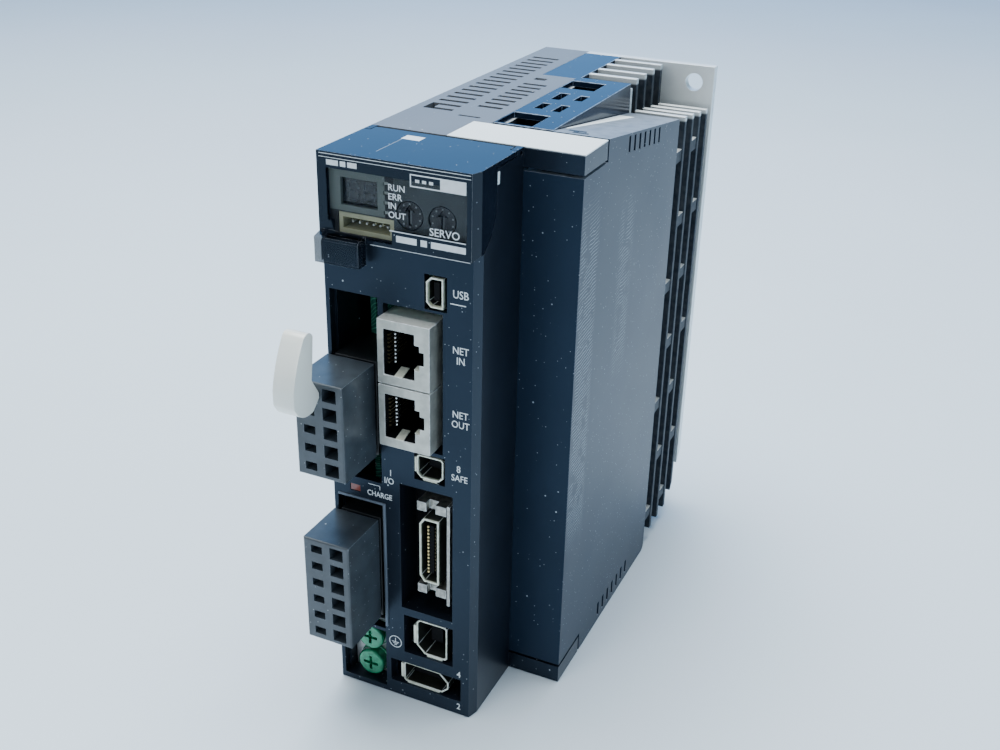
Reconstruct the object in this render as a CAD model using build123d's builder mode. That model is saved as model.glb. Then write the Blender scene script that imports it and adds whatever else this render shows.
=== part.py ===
"""Compact single-axis servo drive, modelled as separate pieces in millimetres.

Layout distances run from the left side, from the front panel's face and up from
the base. The origin is under the middle of the whole part, with +Z up and the
front towards -Y.
"""
import os
from math import radians, tan
from build123d import *

os.makedirs("parts", exist_ok=True)

# Overall sizes
width = 55.0
height = 150.0
depth = 132.0
front_reach = 26.0  # the wiring lever ahead of the front panel

# Case
panel_width = 40.0
head_depth = 23.7
front_wall = 2.4
case_wall = 1.6
bevel_width = 1.0
bevel_depth = 3.0
band_depth = 14.8
cap_height = 4.8
foot_height = 5.0
side_gap = 0.8
grey_top_width = 24.5
rear_top_width = 14.3
label_thickness = 0.3
cap_left = 20.0
vent_plate_back_left = 25.5
edge_round = 0.5
part_gap = 0.3

# Heat sink
plate_thickness = 3.0
base_left = 21.5
base_thickness = 4.0
base_front = 42.0
fin_thickness = 1.8
fin_pitch = 7.2
fin_count = 4
fin_setback = 7.4
sink_depth = 35.5
flange_height = 12.0
fin_top_slope = 0.12  # rise of the short fins' tops towards the front
foot_chamfer_depth = 10.0
foot_chamfer_height = 20.0
flange_width = 15.0
lug_height = 3.4
lug_depth = 2.6
lug_starts = (11.5, 30.4)
lug_count = 4
lug_pitch = 39.6
mount_hole_radius = 2.6
mount_hole_from_right = 6.0
mount_hole_from_top = 5.0

# Side cover
cover_slope = 8.0
side_wall = 1.5
side_slot_width = 1.3
side_slot_pitch = 4.0
side_slot_count = 7
side_slot_length = 4.2
side_slot_first = 54.5

# Display cover
lens_wall = 1.2
lens_height = 20.4
cheek_depth = 9.2
hinge_radius = 1.2
hinge_pin_radius = 0.6
hinge_clearance = 0.05
hinge_setback = 1.5
tab_width = 11.6
tab_reach = 4.6
tab_height = 6.2

# Display panel
bezel_thickness = 1.0
bezel_pocket = 1.2
board_thickness = 1.6
display_board_face = 8.5
dial_radius = 3.2
dial_clearance = 0.1
dial_columns = (22.9, 31.1)
dial_drop = 12.3
switch_width = 7.8
lamp_column = 17.0
lamp_drops = (5.8, 8.0, 10.3, 12.6)

# Plugs and headers
pole_pitch = 5.0
power_poles = 5
motor_poles = 6
motor_plug_base = 24.8
plug_gap = 18.6
plug_width = 13.0
plug_left = 0.2
plug_reach = 15.5
plug_back = -0.6
plug_end_margin = 0.25
nose_inset = 1.0
nose_depth = 11.5
socket_clearance = 0.2
header_wall = 0.9
header_front = 0.3
header_back = 15.0
pin_size = 1.0
recess_left = 1.1
recess_right = 14.2
recess_under_power = 7.9
recess_under_motor = 3.9
recess_over_motor = 4.2
lamp_over_recess = 2.3
lamp_window_height = 2.0

# Lever
lever_left = 1.8
lever_width = 5.6
tongue_width = 2.6
slot_left = 2.4
slot_width = 3.2

# Boards
power_board_left = 3.4
control_board_left = 14.2
control_board_thickness = 1.4
logic_board_left = 46.0

# Network jacks
jack_right = 29.4
jack_front = -3.0
jack_back = 18.0
jack_bases = (79.4, 96.3)
jack_height = 16.5
sheet = 0.4

# Values worked out from the ones above
left_x = -width / 2
front_y = -(depth + front_reach) / 2 + front_reach
board_face = control_board_left + control_board_thickness
power_board_face = power_board_left + board_thickness
base_right = base_left + base_thickness
sink_front = depth - sink_depth
plate_front = depth - plate_thickness
lens_base = height - lens_height
top_under = height - lens_wall - part_gap
hinge_height = height - hinge_radius
hinge_depth = head_depth - hinge_setback
band_back = head_depth + band_depth
cover_left = panel_width + part_gap
motor_plug_top = motor_plug_base + pole_pitch * motor_poles + 2 * plug_end_margin
power_plug_base = motor_plug_top + plug_gap
motor_recess_top = motor_plug_top + recess_over_motor
charge_foot = motor_recess_top + lamp_over_recess


def facing_front(from_front):
    """Plane across the drive, looking forward; its axes are from-left and up."""
    origin = (left_x, front_y + from_front, 0)
    return Plane(origin=origin, x_dir=(1, 0, 0), z_dir=(0, -1, 0))


def facing_right(from_left):
    """Plane along the drive, looking right; its axes are from-front and up."""
    origin = (left_x + from_left, front_y, 0)
    return Plane(origin=origin, x_dir=(0, 1, 0), z_dir=(1, 0, 0))


def facing_up(level):
    """Level plane; its axes are from-left and from-front."""
    return Plane(origin=(left_x, front_y, level), x_dir=(1, 0, 0), z_dir=(0, 0, 1))


def cuboid(across, along, up, mode=Mode.ADD):
    """Box between two distances from the left, from the front and from the base."""
    middle = (left_x + sum(across) / 2, front_y + sum(along) / 2, sum(up) / 2)
    with Locations(middle):
        Box(across[1] - across[0], along[1] - along[0], up[1] - up[0], mode=mode)


def window(first, second, mode=Mode.ADD):
    """Rectangle between two pairs of distances in the current sketch."""
    with Locations((sum(first) / 2, sum(second) / 2)):
        Rectangle(first[1] - first[0], second[1] - second[0], mode=mode)


def rod(plane, length, radius, places, mode=Mode.ADD):
    """Round rods of one radius standing on a plane at several places."""
    stands = [plane.location * Location((across, up, length / 2)) for across, up in places]
    with Locations(*stands):
        Cylinder(radius, length, mode=mode)


def outline(points, mode=Mode.ADD):
    """Straight-sided face through a list of corners in the current sketch."""
    Polygon(*points, align=None, mode=mode)


def widened(span, amount):
    """Span with the same middle, longer by an amount at each end."""
    return (span[0] - amount, span[1] + amount)


def widened_area(area, amount):
    """Rectangle given as two spans, larger by an amount all round."""
    return (widened(area[0], amount), widened(area[1], amount))


def save(builder, name):
    """Label a finished piece and write it as its own STEP file."""
    builder.part.label = name
    export_step(builder.part, f"parts/{name}.step")


# Heat sink: back plate, base wall, fins parallel to the plate and casting lugs
fin_middles = [depth - fin_setback - fin_pitch * step for step in range(fin_count)]
fin_base = 4.5
short_fin_top = height - flange_height
flange_left = width - flange_width
with BuildPart() as heat_sink:
    with BuildSketch(facing_front(depth)):
        window((0, rear_top_width), (0, height - case_wall))
        window((rear_top_width, width), (0, height))
        with Locations((width - mount_hole_from_right, height - mount_hole_from_top)):
            Circle(mount_hole_radius, mode=Mode.SUBTRACT)
        with Locations((mount_hole_from_right, mount_hole_from_top)):
            Circle(mount_hole_radius, mode=Mode.SUBTRACT)
        slot_sides = widened((mount_hole_from_right, mount_hole_from_right), mount_hole_radius)
        window(slot_sides, (0, mount_hole_from_top), mode=Mode.SUBTRACT)
    extrude(amount=plate_thickness)
    cuboid((base_left, base_right), (base_front, plate_front), (fin_base, height - case_wall))
    for middle in fin_middles:
        fin_top = short_fin_top + (plate_front - middle) * fin_top_slope
        with BuildSketch(facing_front(middle + fin_thickness / 2)):
            window((base_right, width), (fin_base, fin_top))
            window((base_right, flange_left), (fin_base, height))
        extrude(amount=fin_thickness)
    front_fin = (sink_front, sink_front + side_wall)
    cuboid((base_right, cover_left), front_fin, (fin_base, height - case_wall))
    lug_sides = (width - part_gap - lug_depth, width - part_gap)
    for gap in range(fin_count):
        gap_back = fin_middles[gap] - fin_thickness / 2
        gap_front = gap_back - fin_pitch + fin_thickness
        start = lug_starts[gap % 2 == 0]
        levels = [start + lug_pitch * step for step in range(lug_count)]
        for level in levels:
            if level < short_fin_top - lug_height:
                lug = (level - lug_height / 2, level + lug_height / 2)
                cuboid(lug_sides, (gap_front, gap_back), lug)
    chamfer_points = [
        (depth - foot_chamfer_depth, -1),
        (depth - foot_chamfer_depth, fin_base),
        (depth, foot_chamfer_height),
        (depth + 1, foot_chamfer_height),
        (depth + 1, -1),
    ]
    with BuildSketch(facing_right(rear_top_width)):
        outline(chamfer_points)
    extrude(amount=width - rear_top_width, mode=Mode.SUBTRACT)
save(heat_sink, "heat_sink")

# Front openings, as spans from the left and up from the base
jack_opening = ((board_face, 31.3), (78.6, 115.5))
usb_opening = ((26.6, 32.4), (116.1, 124.8))
safety_opening = ((23.4, 31.9), (70.0, 77.7))
io_opening = ((19.2, 34.0), (29.7, 67.5))
scale_opening = ((19.8, 34.2), (15.2, 27.4))
encoder_opening = ((board_face, 36.6), (4.3, 11.6))
recess_sides = (recess_left, recess_right)
power_recess = (recess_sides, (power_plug_base - recess_under_power, 116.5))
motor_recess = (recess_sides, (motor_plug_base - recess_under_motor, motor_recess_top))
earth_recess = (recess_sides, (case_wall, 19.9))
charge_window = ((4.8, 7.8), (charge_foot, charge_foot + lamp_window_height))
monitor_area = ((4.5, 18.8), (lens_base + 1.4, lens_base + 6.3))
lens_opening = ((3.0, panel_width - 3.0), (lens_base + 2.2, top_under - case_wall - 1.6))
bezel_area = ((case_wall, panel_width - case_wall), (lens_base + 0.6, top_under - 0.6))
display_posts = [(4.0, lens_base - 3.0), (36.0, lens_base - 12.0), (21.0, lens_base - 3.0)]

# The side outline of the display cover, as from-front and up
cheek_points = [
    (-lens_wall, lens_base + 0.2),
    (cheek_depth * 0.35, lens_base + 1.4),
    (cheek_depth * 0.7, lens_base + 4.0),
    (cheek_depth, lens_base + 9.0),
    (cheek_depth, height),
    (-lens_wall, height),
]

# Front case: the open head with every front opening, its cap and its foot band
seat_front = 2.2
seat_back = 3.2
post_radius = 2.0
post_bore = 0.8
post_screw_depth = 4.0
monitor_clearance = 0.2
inner_sides = (case_wall, panel_width - case_wall)
with BuildPart() as front_case:
    with BuildSketch(facing_up(0)):
        outline([
            (0, 0),
            (panel_width - bevel_width, 0),
            (panel_width, bevel_depth),
            (panel_width, head_depth),
            (0, head_depth),
        ])
    extrude(amount=height)
    cuboid(inner_sides, (front_wall, head_depth), (case_wall, top_under - case_wall), Mode.SUBTRACT)
    cuboid((0, panel_width), (0, hinge_depth - seat_front), (top_under, height), Mode.SUBTRACT)
    cuboid(inner_sides, (0, head_depth), (top_under, height), Mode.SUBTRACT)
    seat_levels = (top_under - seat_back, top_under - case_wall)
    cuboid(inner_sides, (hinge_depth - seat_back, head_depth), seat_levels)
    groove = [(hinge_depth, hinge_height)]
    groove_length = panel_width - 2 * case_wall
    rod(facing_right(case_wall), groove_length, hinge_radius + part_gap, groove, Mode.SUBTRACT)
    pin_hole = hinge_pin_radius + hinge_clearance
    rod(facing_right(0), panel_width, pin_hole, groove, Mode.SUBTRACT)
    for side_start in (0, panel_width - lens_wall - part_gap):
        with BuildSketch(facing_right(side_start)):
            outline(cheek_points)
            offset(amount=part_gap, kind=Kind.INTERSECTION)
        extrude(amount=lens_wall + part_gap, mode=Mode.SUBTRACT)
    # cap over the side step, and the band at its foot
    cap_top = height - label_thickness
    cuboid((cap_left, width), (head_depth, band_back), (height - cap_height, cap_top))
    cuboid(
        (cap_left + case_wall, width - case_wall),
        (head_depth + case_wall, band_back),
        (height - cap_height, cap_top - case_wall),
        Mode.SUBTRACT,
    )
    cuboid((panel_width - case_wall, width), (head_depth, band_back), (0, foot_height))
    cuboid(
        (panel_width - case_wall, width - case_wall),
        (head_depth + case_wall, band_back),
        (case_wall, foot_height),
        Mode.SUBTRACT,
    )
    cuboid(bezel_area[0], (0, bezel_pocket), bezel_area[1], Mode.SUBTRACT)
    with BuildSketch(facing_front(front_wall)):
        for across, up in (
            jack_opening, usb_opening, safety_opening, io_opening, scale_opening,
            encoder_opening, power_recess, motor_recess, earth_recess, charge_window,
            lens_opening, widened_area(monitor_area, monitor_clearance),
        ):
            window(across, up)
    extrude(amount=front_wall, mode=Mode.SUBTRACT)
    post_face = facing_front(display_board_face)
    rod(post_face, display_board_face - front_wall, post_radius, display_posts)
    rod(post_face, post_screw_depth, post_bore, display_posts, Mode.SUBTRACT)
save(front_case, "front_case")

# Body shell: left wall, vented top and bottom of the rear body
notch_front = sink_front
notch_height = 12.0
top_setback = 2.0
rear_top_gap = 0.6
board_corners = [(28.0, 21.0), (28.0, 136.0), (88.0, 21.0), (88.0, 136.0)]
notch_roof = notch_height + case_wall
boss_radius = 2.5
boss_bore = 1.25
vent_slot_width = 1.7
long_slots = ((2.5, 10.8), 45.5, 4.35, 17)
short_slots = ((14.2, 21.0), 53.0, 4.09, 8)
joint_grooves = [((2.5, 5.0), (45.5, 49.9)), ((14.0, 20.0), (41.6, 42.6))]
clip_dent = ((14.5, 18.0), (87.5, 90.0))
with BuildPart() as body_shell:
    cuboid((0, case_wall), (head_depth, plate_front), (0, height))
    roof = (height - case_wall, height)
    cuboid((0, rear_top_width), (head_depth, depth - rear_top_gap), roof)
    cuboid((0, cap_left), (head_depth, band_back), roof)
    cuboid((0, grey_top_width), (band_back, sink_front - top_setback), roof)
    cuboid((0, panel_width - case_wall), (head_depth, sink_front), (0, case_wall))
    cuboid((0, case_wall), (notch_front, plate_front), (0, notch_height), Mode.SUBTRACT)
    cuboid((0, rear_top_width), (notch_front - case_wall, notch_front), (case_wall, notch_height))
    cuboid(
        (0, rear_top_width),
        (notch_front - case_wall, plate_front),
        (notch_height, notch_roof),
    )
    boss_height = power_board_left - case_wall
    rod(facing_right(case_wall), boss_height, boss_radius, board_corners)
    rod(facing_right(case_wall), boss_height, boss_bore, board_corners, Mode.SUBTRACT)
    for across, first, pitch, count in (long_slots, short_slots):
        for row in range(count):
            middle = first + pitch * row
            slot = (middle - vent_slot_width / 2, middle + vent_slot_width / 2)
            cuboid(across, slot, roof, Mode.SUBTRACT)
    for across, along in joint_grooves:
        cuboid(across, along, roof, Mode.SUBTRACT)
    cuboid(clip_dent[0], clip_dent[1], (height - case_wall / 2, height), Mode.SUBTRACT)
save(body_shell, "body_shell")

# Top vent plate with its openings, and the wall that drops to the side cover
vent_plate_front = band_back + 1.5
vent_windows = [
    ((24.8, 34.5), (vent_plate_front + 0.8, 52.0)),
    ((24.8, 34.5), (82.5, 91.8)),
    ((27.5, 30.0), (69.0, 76.5)),
    ((33.4, 35.8), (70.3, 76.0)),
    ((27.5, 29.8), (58.0, 64.0)),
    ((32.8, 35.1), (57.0, 64.0)),
]
with BuildPart() as top_vent_plate:
    with BuildSketch(facing_up(height)):
        window((grey_top_width, cover_left), (vent_plate_front, sink_front))
        window((rear_top_width, vent_plate_back_left), (sink_front - top_setback, plate_front))
        for across, along in vent_windows:
            window(across, along, mode=Mode.SUBTRACT)
    extrude(amount=-case_wall)
    slope_drop = (sink_front - band_back) * tan(radians(cover_slope))
    wall_span = (height - slope_drop - case_wall, height - case_wall)
    cuboid((cover_left - case_wall, cover_left), (vent_plate_front, sink_front), wall_span)
save(top_vent_plate, "top_vent_plate")

# Label strip on the cap
with BuildPart() as top_label:
    cuboid((cap_left, width), (head_depth + part_gap, band_back), (cap_top, height))
save(top_label, "top_label")

# Side cover: a tray with a sloping top and two rows of slots
cap_under = height - cap_height - side_gap
foot_over = foot_height + side_gap
tray_points = [
    (head_depth, foot_over),
    (band_back + side_gap, foot_over),
    (band_back + side_gap, 0),
    (sink_front, 0),
    (sink_front, height - slope_drop),
    (band_back + side_gap, height),
    (band_back + side_gap, cap_under),
    (head_depth, cap_under),
]
logic_corners = [(33.0, 15.0), (33.0, 128.0), (89.0, 15.0), (89.0, 128.0)]
logic_board_face = logic_board_left + board_thickness
screw_depth = 4.0
foot_round = 2.0
lower_slot = (1.8, 6.4)
slot_margin = 0.6
with BuildPart() as side_cover:
    with BuildSketch(facing_right(cover_left)):
        outline(tray_points)
    extrude(amount=width - cover_left)
    rear_foot = side_cover.edges().filter_by(Axis.X).group_by(Axis.Y)[-1].sort_by(Axis.Z)[0]
    fillet(rear_foot, radius=foot_round)
    with BuildSketch(facing_right(cover_left)):
        outline(tray_points)
        offset(amount=-side_wall, kind=Kind.INTERSECTION)
    extrude(amount=width - cover_left - side_wall, mode=Mode.SUBTRACT)
    lip = (panel_width - case_wall, cover_left)
    cuboid(lip, (head_depth, head_depth + side_wall), (foot_over, cap_under))
    for step in range(side_slot_count):
        middle = side_slot_first + side_slot_pitch * step
        slot = (middle - side_slot_width / 2, middle + side_slot_width / 2)
        slope_top = height - (middle - band_back) * tan(radians(cover_slope))
        upper = (slope_top - side_slot_length - slot_margin, slope_top - slot_margin)
        cuboid((width - side_wall, width), slot, upper, Mode.SUBTRACT)
        cuboid((width - side_wall, width), slot, lower_slot, Mode.SUBTRACT)
    boss_length = width - side_wall - logic_board_face
    rod(facing_right(logic_board_face), boss_length, boss_radius, logic_corners)
    rod(facing_right(logic_board_face), screw_depth, boss_bore, logic_corners, Mode.SUBTRACT)
save(side_cover, "side_cover")

# Display cover: a clear hinged lid with cheeks, hinge barrel and pull tab
barrel_span = widened(inner_sides, -part_gap)
barrel_length = barrel_span[1] - barrel_span[0]
lid_back = hinge_depth - 2.5
web_depth = 2.6
pin_end = 0.6
tab_left = 0.6
tab_top = lens_base + 1.2
tab_slope = 0.8
tab_foot = tab_top - tab_height
tab_wall = 1.2
tab_inside = (1.6, 11.2)
hinge_place = [(hinge_depth, hinge_height)]
with BuildPart() as display_cover:
    with BuildSketch(facing_up(lens_base)):
        outline([
            (0, -lens_wall),
            (panel_width - bevel_width, -lens_wall),
            (panel_width, bevel_depth - lens_wall),
            (panel_width, lid_back),
            (0, lid_back),
        ])
    extrude(amount=height - lens_base)
    cuboid(
        (lens_wall, panel_width - lens_wall),
        (0, hinge_depth),
        (lens_base, height - lens_wall),
        Mode.SUBTRACT,
    )
    for side_start in (0, panel_width - lens_wall):
        with BuildSketch(facing_right(side_start)):
            window((-lens_wall, hinge_depth), (lens_base, height - lens_wall))
            outline(cheek_points, mode=Mode.SUBTRACT)
        extrude(amount=lens_wall, mode=Mode.SUBTRACT)
    cuboid(barrel_span, (hinge_depth - web_depth, hinge_depth), (height - lens_wall, height))
    rod(facing_right(barrel_span[0]), barrel_length, hinge_radius, hinge_place)
    rod(facing_right(pin_end), panel_width - 2 * pin_end, hinge_pin_radius, hinge_place)
    with BuildSketch(facing_right(tab_left)):
        outline([
            (-lens_wall, tab_top + tab_slope),
            (-tab_reach, tab_top),
            (-tab_reach, tab_foot),
            (-lens_wall, tab_foot),
        ])
    extrude(amount=tab_width)
    tab_hollow = (tab_wall - tab_reach, -lens_wall)
    cuboid(tab_inside, tab_hollow, (lens_base - tab_height, lens_base), Mode.SUBTRACT)
save(display_cover, "display_cover")

# Display bezel with windows for the digits, lamps, dials and monitor connector
display_window = ((5.2, 14.8), (lens_base + 8.1, lens_base + 14.6))
dial_height = height - dial_drop
lamp_places = [(lamp_column, height - drop) for drop in lamp_drops]
bezel_front = bezel_pocket - bezel_thickness
bezel_clearance = 0.1
socket_gap = 0.15
lamp_window = (1.3, 0.9)
with BuildPart() as display_bezel:
    with BuildSketch(facing_front(bezel_pocket)):
        window(*widened_area(bezel_area, -bezel_clearance))
        window(*display_window, mode=Mode.SUBTRACT)
        window(*widened_area(monitor_area, socket_gap), mode=Mode.SUBTRACT)
        with Locations(*[(column, dial_height) for column in dial_columns]):
            Circle(dial_radius + part_gap, mode=Mode.SUBTRACT)
        with Locations(*lamp_places):
            Rectangle(*lamp_window, mode=Mode.SUBTRACT)
    extrude(amount=bezel_thickness)
save(display_bezel, "display_bezel")

# Display board and what stands on it
usb_shell_span = ((27.1, 31.5), (116.8, 124.2))
board_margin = 0.4
board_bottom = usb_opening[1][0] - 0.6
board_top = top_under - 4.0
board_hole = 0.9
display_board_back = display_board_face + board_thickness
with BuildPart() as display_board:
    board_sides = widened(inner_sides, -board_margin)
    cuboid(board_sides, (display_board_face, display_board_back), (board_bottom, board_top))
    rod(facing_front(display_board_back), board_thickness, board_hole, display_posts, Mode.SUBTRACT)
save(display_board, "display_board")

display_margin = 0.6
with BuildPart() as seven_segment_display:
    digits = widened_area(display_window, display_margin)
    cuboid(digits[0], (bezel_pocket + part_gap, display_board_face), digits[1])
save(seven_segment_display, "seven_segment_display")

lamp_size = (1.1, 0.7)
with BuildPart() as status_lamps:
    for column, level in lamp_places:
        lamp_sides = widened((column, column), lamp_size[0] / 2)
        lamp_levels = widened((level, level), lamp_size[1] / 2)
        cuboid(lamp_sides, (bezel_front + part_gap, display_board_face), lamp_levels)
save(status_lamps, "status_lamps")

dial_front = 0.45
dial_seat = 3.0
rotor_depth = 2.0
rotor_gap = 0.1
slot_depth = 0.8
slot_half = 0.4
slot_ends = (-2.3, 1.2)
arrow_half = 1.3
arrow_ends = (0.9, 2.6)
rotor_back = dial_seat + rotor_depth
for name, column in zip(("tens", "ones"), dial_columns):
    centre = [(column, dial_height)]
    with BuildPart() as rotary_switch:
        cuboid(
            (column - switch_width / 2, column + switch_width / 2),
            (bezel_pocket + rotor_gap, display_board_face),
            (dial_height - switch_width / 2, dial_height + switch_width / 2),
        )
        bore = dial_radius + dial_clearance
        rod(facing_front(rotor_back), rotor_back, bore, centre, Mode.SUBTRACT)
    save(rotary_switch, f"{name}_rotary_switch")
    with BuildPart() as dial:
        dial_back = rotor_back - rotor_gap
        rod(facing_front(dial_back), dial_back - dial_front, dial_radius, centre)
        slot_sides = widened((column, column), slot_half)
        slot_span = (dial_height + slot_ends[0], dial_height + slot_ends[1])
        cuboid(slot_sides, (dial_front, dial_front + slot_depth), slot_span, Mode.SUBTRACT)
        with BuildSketch(facing_front(dial_front + slot_depth)):
            outline([
                (column - arrow_half, dial_height + arrow_ends[0]),
                (column + arrow_half, dial_height + arrow_ends[0]),
                (column, dial_height + arrow_ends[1]),
            ])
        extrude(amount=slot_depth, mode=Mode.SUBTRACT)
    save(dial, f"{name}_dial")

monitor_wall = (1.0, 1.1)
monitor_floor = display_board_face - 1.5
monitor_pins = 6
monitor_pin = (0.3, 4.5, 2.0, 6.8)
with BuildPart() as monitor_connector:
    pin_radius, pin_length, pin_step, first_pin = monitor_pin
    cuboid(monitor_area[0], (bezel_front + 0.2, display_board_face), monitor_area[1])
    mouth_sides = widened(monitor_area[0], -monitor_wall[0])
    mouth_levels = widened(monitor_area[1], -monitor_wall[1])
    cuboid(mouth_sides, (0, monitor_floor), mouth_levels, Mode.SUBTRACT)
    pin_level = sum(monitor_area[1]) / 2
    pin_row = [(first_pin + pin_step * step, pin_level) for step in range(monitor_pins)]
    rod(facing_front(monitor_floor), pin_length, pin_radius, pin_row)
save(monitor_connector, "monitor_connector")

# Small USB socket
usb_sides, usb_levels = usb_shell_span
usb_corner = 1.2
usb_proud = 0.2
usb_tongue_inset = (1.5, 1.5)
usb_tongue_front = 1.0
with BuildPart() as usb_shell:
    with BuildSketch(facing_front(display_board_face)):
        outline([
            (usb_sides[0], usb_levels[0] + usb_corner),
            (usb_sides[0], usb_levels[1] - usb_corner),
            (usb_sides[0] + usb_corner, usb_levels[1]),
            (usb_sides[1], usb_levels[1]),
            (usb_sides[1], usb_levels[0]),
            (usb_sides[0] + usb_corner, usb_levels[0]),
        ])
        offset(amount=-sheet, kind=Kind.INTERSECTION, mode=Mode.SUBTRACT)
    extrude(amount=display_board_face + usb_proud)
save(usb_shell, "usb_shell")

with BuildPart() as usb_tongue:
    tongue_sides = widened(usb_sides, -usb_tongue_inset[0])
    tongue_levels = widened(usb_levels, -usb_tongue_inset[1])
    cuboid(tongue_sides, (usb_tongue_front, display_board_face), tongue_levels)
save(usb_tongue, "usb_tongue")

# Control board, standing on edge behind the front panel
control_corners = [(33.0, 24.0), (33.0, 104.0)]
control_levels = (3.0, jack_bases[1] + jack_height + 1.2)
control_along = (front_wall + 0.2, 38.0)
screw_hole = 1.3
with BuildPart() as control_board:
    control_face = facing_right(control_board_left)
    cuboid((control_board_left, board_face), control_along, control_levels)
    rod(control_face, control_board_thickness, screw_hole, control_corners, Mode.SUBTRACT)
save(control_board, "control_board")

# Network jacks: folded metal shells around black inserts with gold contacts
mouth_width = 8.2
mouth_height = 11.8
mouth_depth = 13.0
latch_steps = ((1.3, 6.4), (2.5, 3.4))
contact_depth = (11.0, 9.0)
contact_thickness = 0.5
contact_width = 0.4
mouth_left = board_face + 1.6
mouth_right = mouth_left + mouth_width
for name, base in zip(("out", "in"), jack_bases):
    middle = base + jack_height / 2
    mouth = [((mouth_left, mouth_right), (middle - mouth_height / 2, middle + mouth_height / 2))]
    for reach, rise in latch_steps:
        mouth.append(((mouth_right, mouth_right + reach), (middle - rise / 2, middle + rise / 2)))
    with BuildPart() as jack_shell:
        cuboid((board_face, jack_right), (jack_front, jack_back), (base, base + jack_height))
        cuboid(
            (board_face + sheet, jack_right - sheet),
            (jack_front + sheet, jack_back - sheet),
            (base + sheet, base + jack_height - sheet),
            Mode.SUBTRACT,
        )
        with BuildSketch(facing_front(jack_front + sheet)):
            for across, up in mouth:
                window(across, up)
        extrude(amount=sheet, mode=Mode.SUBTRACT)
    save(jack_shell, f"ethernet_jack_{name}")
    with BuildPart() as jack_insert:
        cuboid(
            (board_face + sheet, jack_right - sheet),
            (jack_front + sheet, jack_back - sheet),
            (base + sheet, base + jack_height - sheet),
        )
        with BuildSketch(facing_front(jack_front + mouth_depth)):
            for across, up in mouth:
                window(across, up)
        extrude(amount=mouth_depth, mode=Mode.SUBTRACT)
    save(jack_insert, f"jack_insert_{name}")

contact_pitch = 1.02
contact_count = 8
contact_sides = (mouth_left, mouth_left + contact_thickness)
with BuildPart() as jack_contacts:
    for base in jack_bases:
        middle = base + jack_height / 2
        for step in range(contact_count):
            level = middle + (step - (contact_count - 1) / 2) * contact_pitch
            with BuildSketch(facing_front(jack_front + contact_depth[0])):
                window(contact_sides, widened((level, level), contact_width / 2))
            extrude(amount=contact_depth[1])
save(jack_contacts, "jack_contacts")


def clipped_corners(across, up, clips):
    """Outline of a rectangle with clipped corners, listed from the lower left round."""
    lower_left, lower_right, upper_right, upper_left = clips
    return [
        (across[0] + lower_left, up[0]),
        (across[1] - lower_right, up[0]),
        (across[1], up[0] + lower_right),
        (across[1], up[1] - upper_right),
        (across[1] - upper_right, up[1]),
        (across[0] + upper_left, up[1]),
        (across[0], up[1] - upper_left),
        (across[0], up[0] + lower_left),
    ]


# Safety, scale and encoder ports, each a shell on a dark base from the control board
port_depth = 8.5
port_back = 13.0
port_base_margin = 0.6
tongue_setback = 3.2
ports = {
    "safety_port": (((24.0, 31.3), (70.6, 77.1)), (1.2, 1.2, 0.6, 0.6), 0.2, 1.9),
    "scale_port": (((23.2, 32.2), (15.9, 26.6)), (2.4, 0.6, 0.6, 0.9), 0.6, 2.8),
    "encoder_port": (((19.2, 32.6), (4.8, 11.2)), (0.6, 1.8, 2.6, 0.6), 0.6, 1.5),
}
for name, (span, clips, front, tongue_inset) in ports.items():
    with BuildPart() as port_shell:
        with BuildSketch(facing_front(port_depth)):
            outline(clipped_corners(span[0], span[1], clips))
            offset(amount=-sheet, kind=Kind.INTERSECTION, mode=Mode.SUBTRACT)
        extrude(amount=port_depth - front)
    save(port_shell, f"{name}_shell")
    with BuildPart() as port_insert:
        cuboid((board_face, span[0][1] + port_base_margin), (port_depth, port_back), span[1])
        tongue = widened_area(span, -tongue_inset)
        cuboid(tongue[0], (front + tongue_setback, port_depth), tongue[1])
    save(port_insert, f"{name}_insert")

# Signal connector: D-shaped shell, contact bar, latch posts and side bracket
io_span = ((24.4, 29.9), (39.6, 58.8))
io_sheet = 0.5
io_clips = ((1.2, 1.8), 0.4)
io_floor = 8.5
io_base_depth = 6.0
io_base_margin = (0.4, 1.4)
io_middle = sum(io_span[1]) / 2
bar_sides = (26.2, 28.0)
bar_front = 1.6
bar_end_gap = 2.4
with BuildPart() as io_connector_insert:
    base_sides = (board_face, io_opening[0][1] - io_base_margin[0])
    base_levels = widened(io_opening[1], -io_base_margin[1])
    cuboid(base_sides, (io_floor, io_floor + io_base_depth), base_levels)
    cuboid(bar_sides, (bar_front, io_floor), widened(io_span[1], -bar_end_gap))
save(io_connector_insert, "io_connector_insert")

with BuildPart() as io_connector_shell:
    (clip_across, clip_up), io_shell_front = io_clips
    with BuildSketch(facing_front(io_floor)):
        outline([
            (io_span[0][0], io_span[1][0] + clip_up),
            (io_span[0][0] + clip_across, io_span[1][0]),
            (io_span[0][1], io_span[1][0]),
            (io_span[0][1], io_span[1][1]),
            (io_span[0][0] + clip_across, io_span[1][1]),
            (io_span[0][0], io_span[1][1] - clip_up),
        ])
        offset(amount=-io_sheet, kind=Kind.INTERSECTION, mode=Mode.SUBTRACT)
    extrude(amount=io_floor - io_shell_front)
save(io_connector_shell, "io_connector_shell")

io_contact_rows = 13
io_contact_pitch = 1.05
io_contact_thickness = 0.3
io_contact_width = 0.5
io_contact_front = 2.0
left_row = (bar_sides[0] - io_contact_thickness, bar_sides[0])
right_row = (bar_sides[1], bar_sides[1] + io_contact_thickness)
with BuildPart() as io_connector_contacts:
    for step in range(io_contact_rows):
        level = io_middle + (step - (io_contact_rows - 1) / 2) * io_contact_pitch
        for side in (left_row, right_row):
            contact_levels = widened((level, level), io_contact_width / 2)
            cuboid(side, (io_contact_front, io_floor), contact_levels)
save(io_connector_contacts, "io_connector_contacts")

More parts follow.
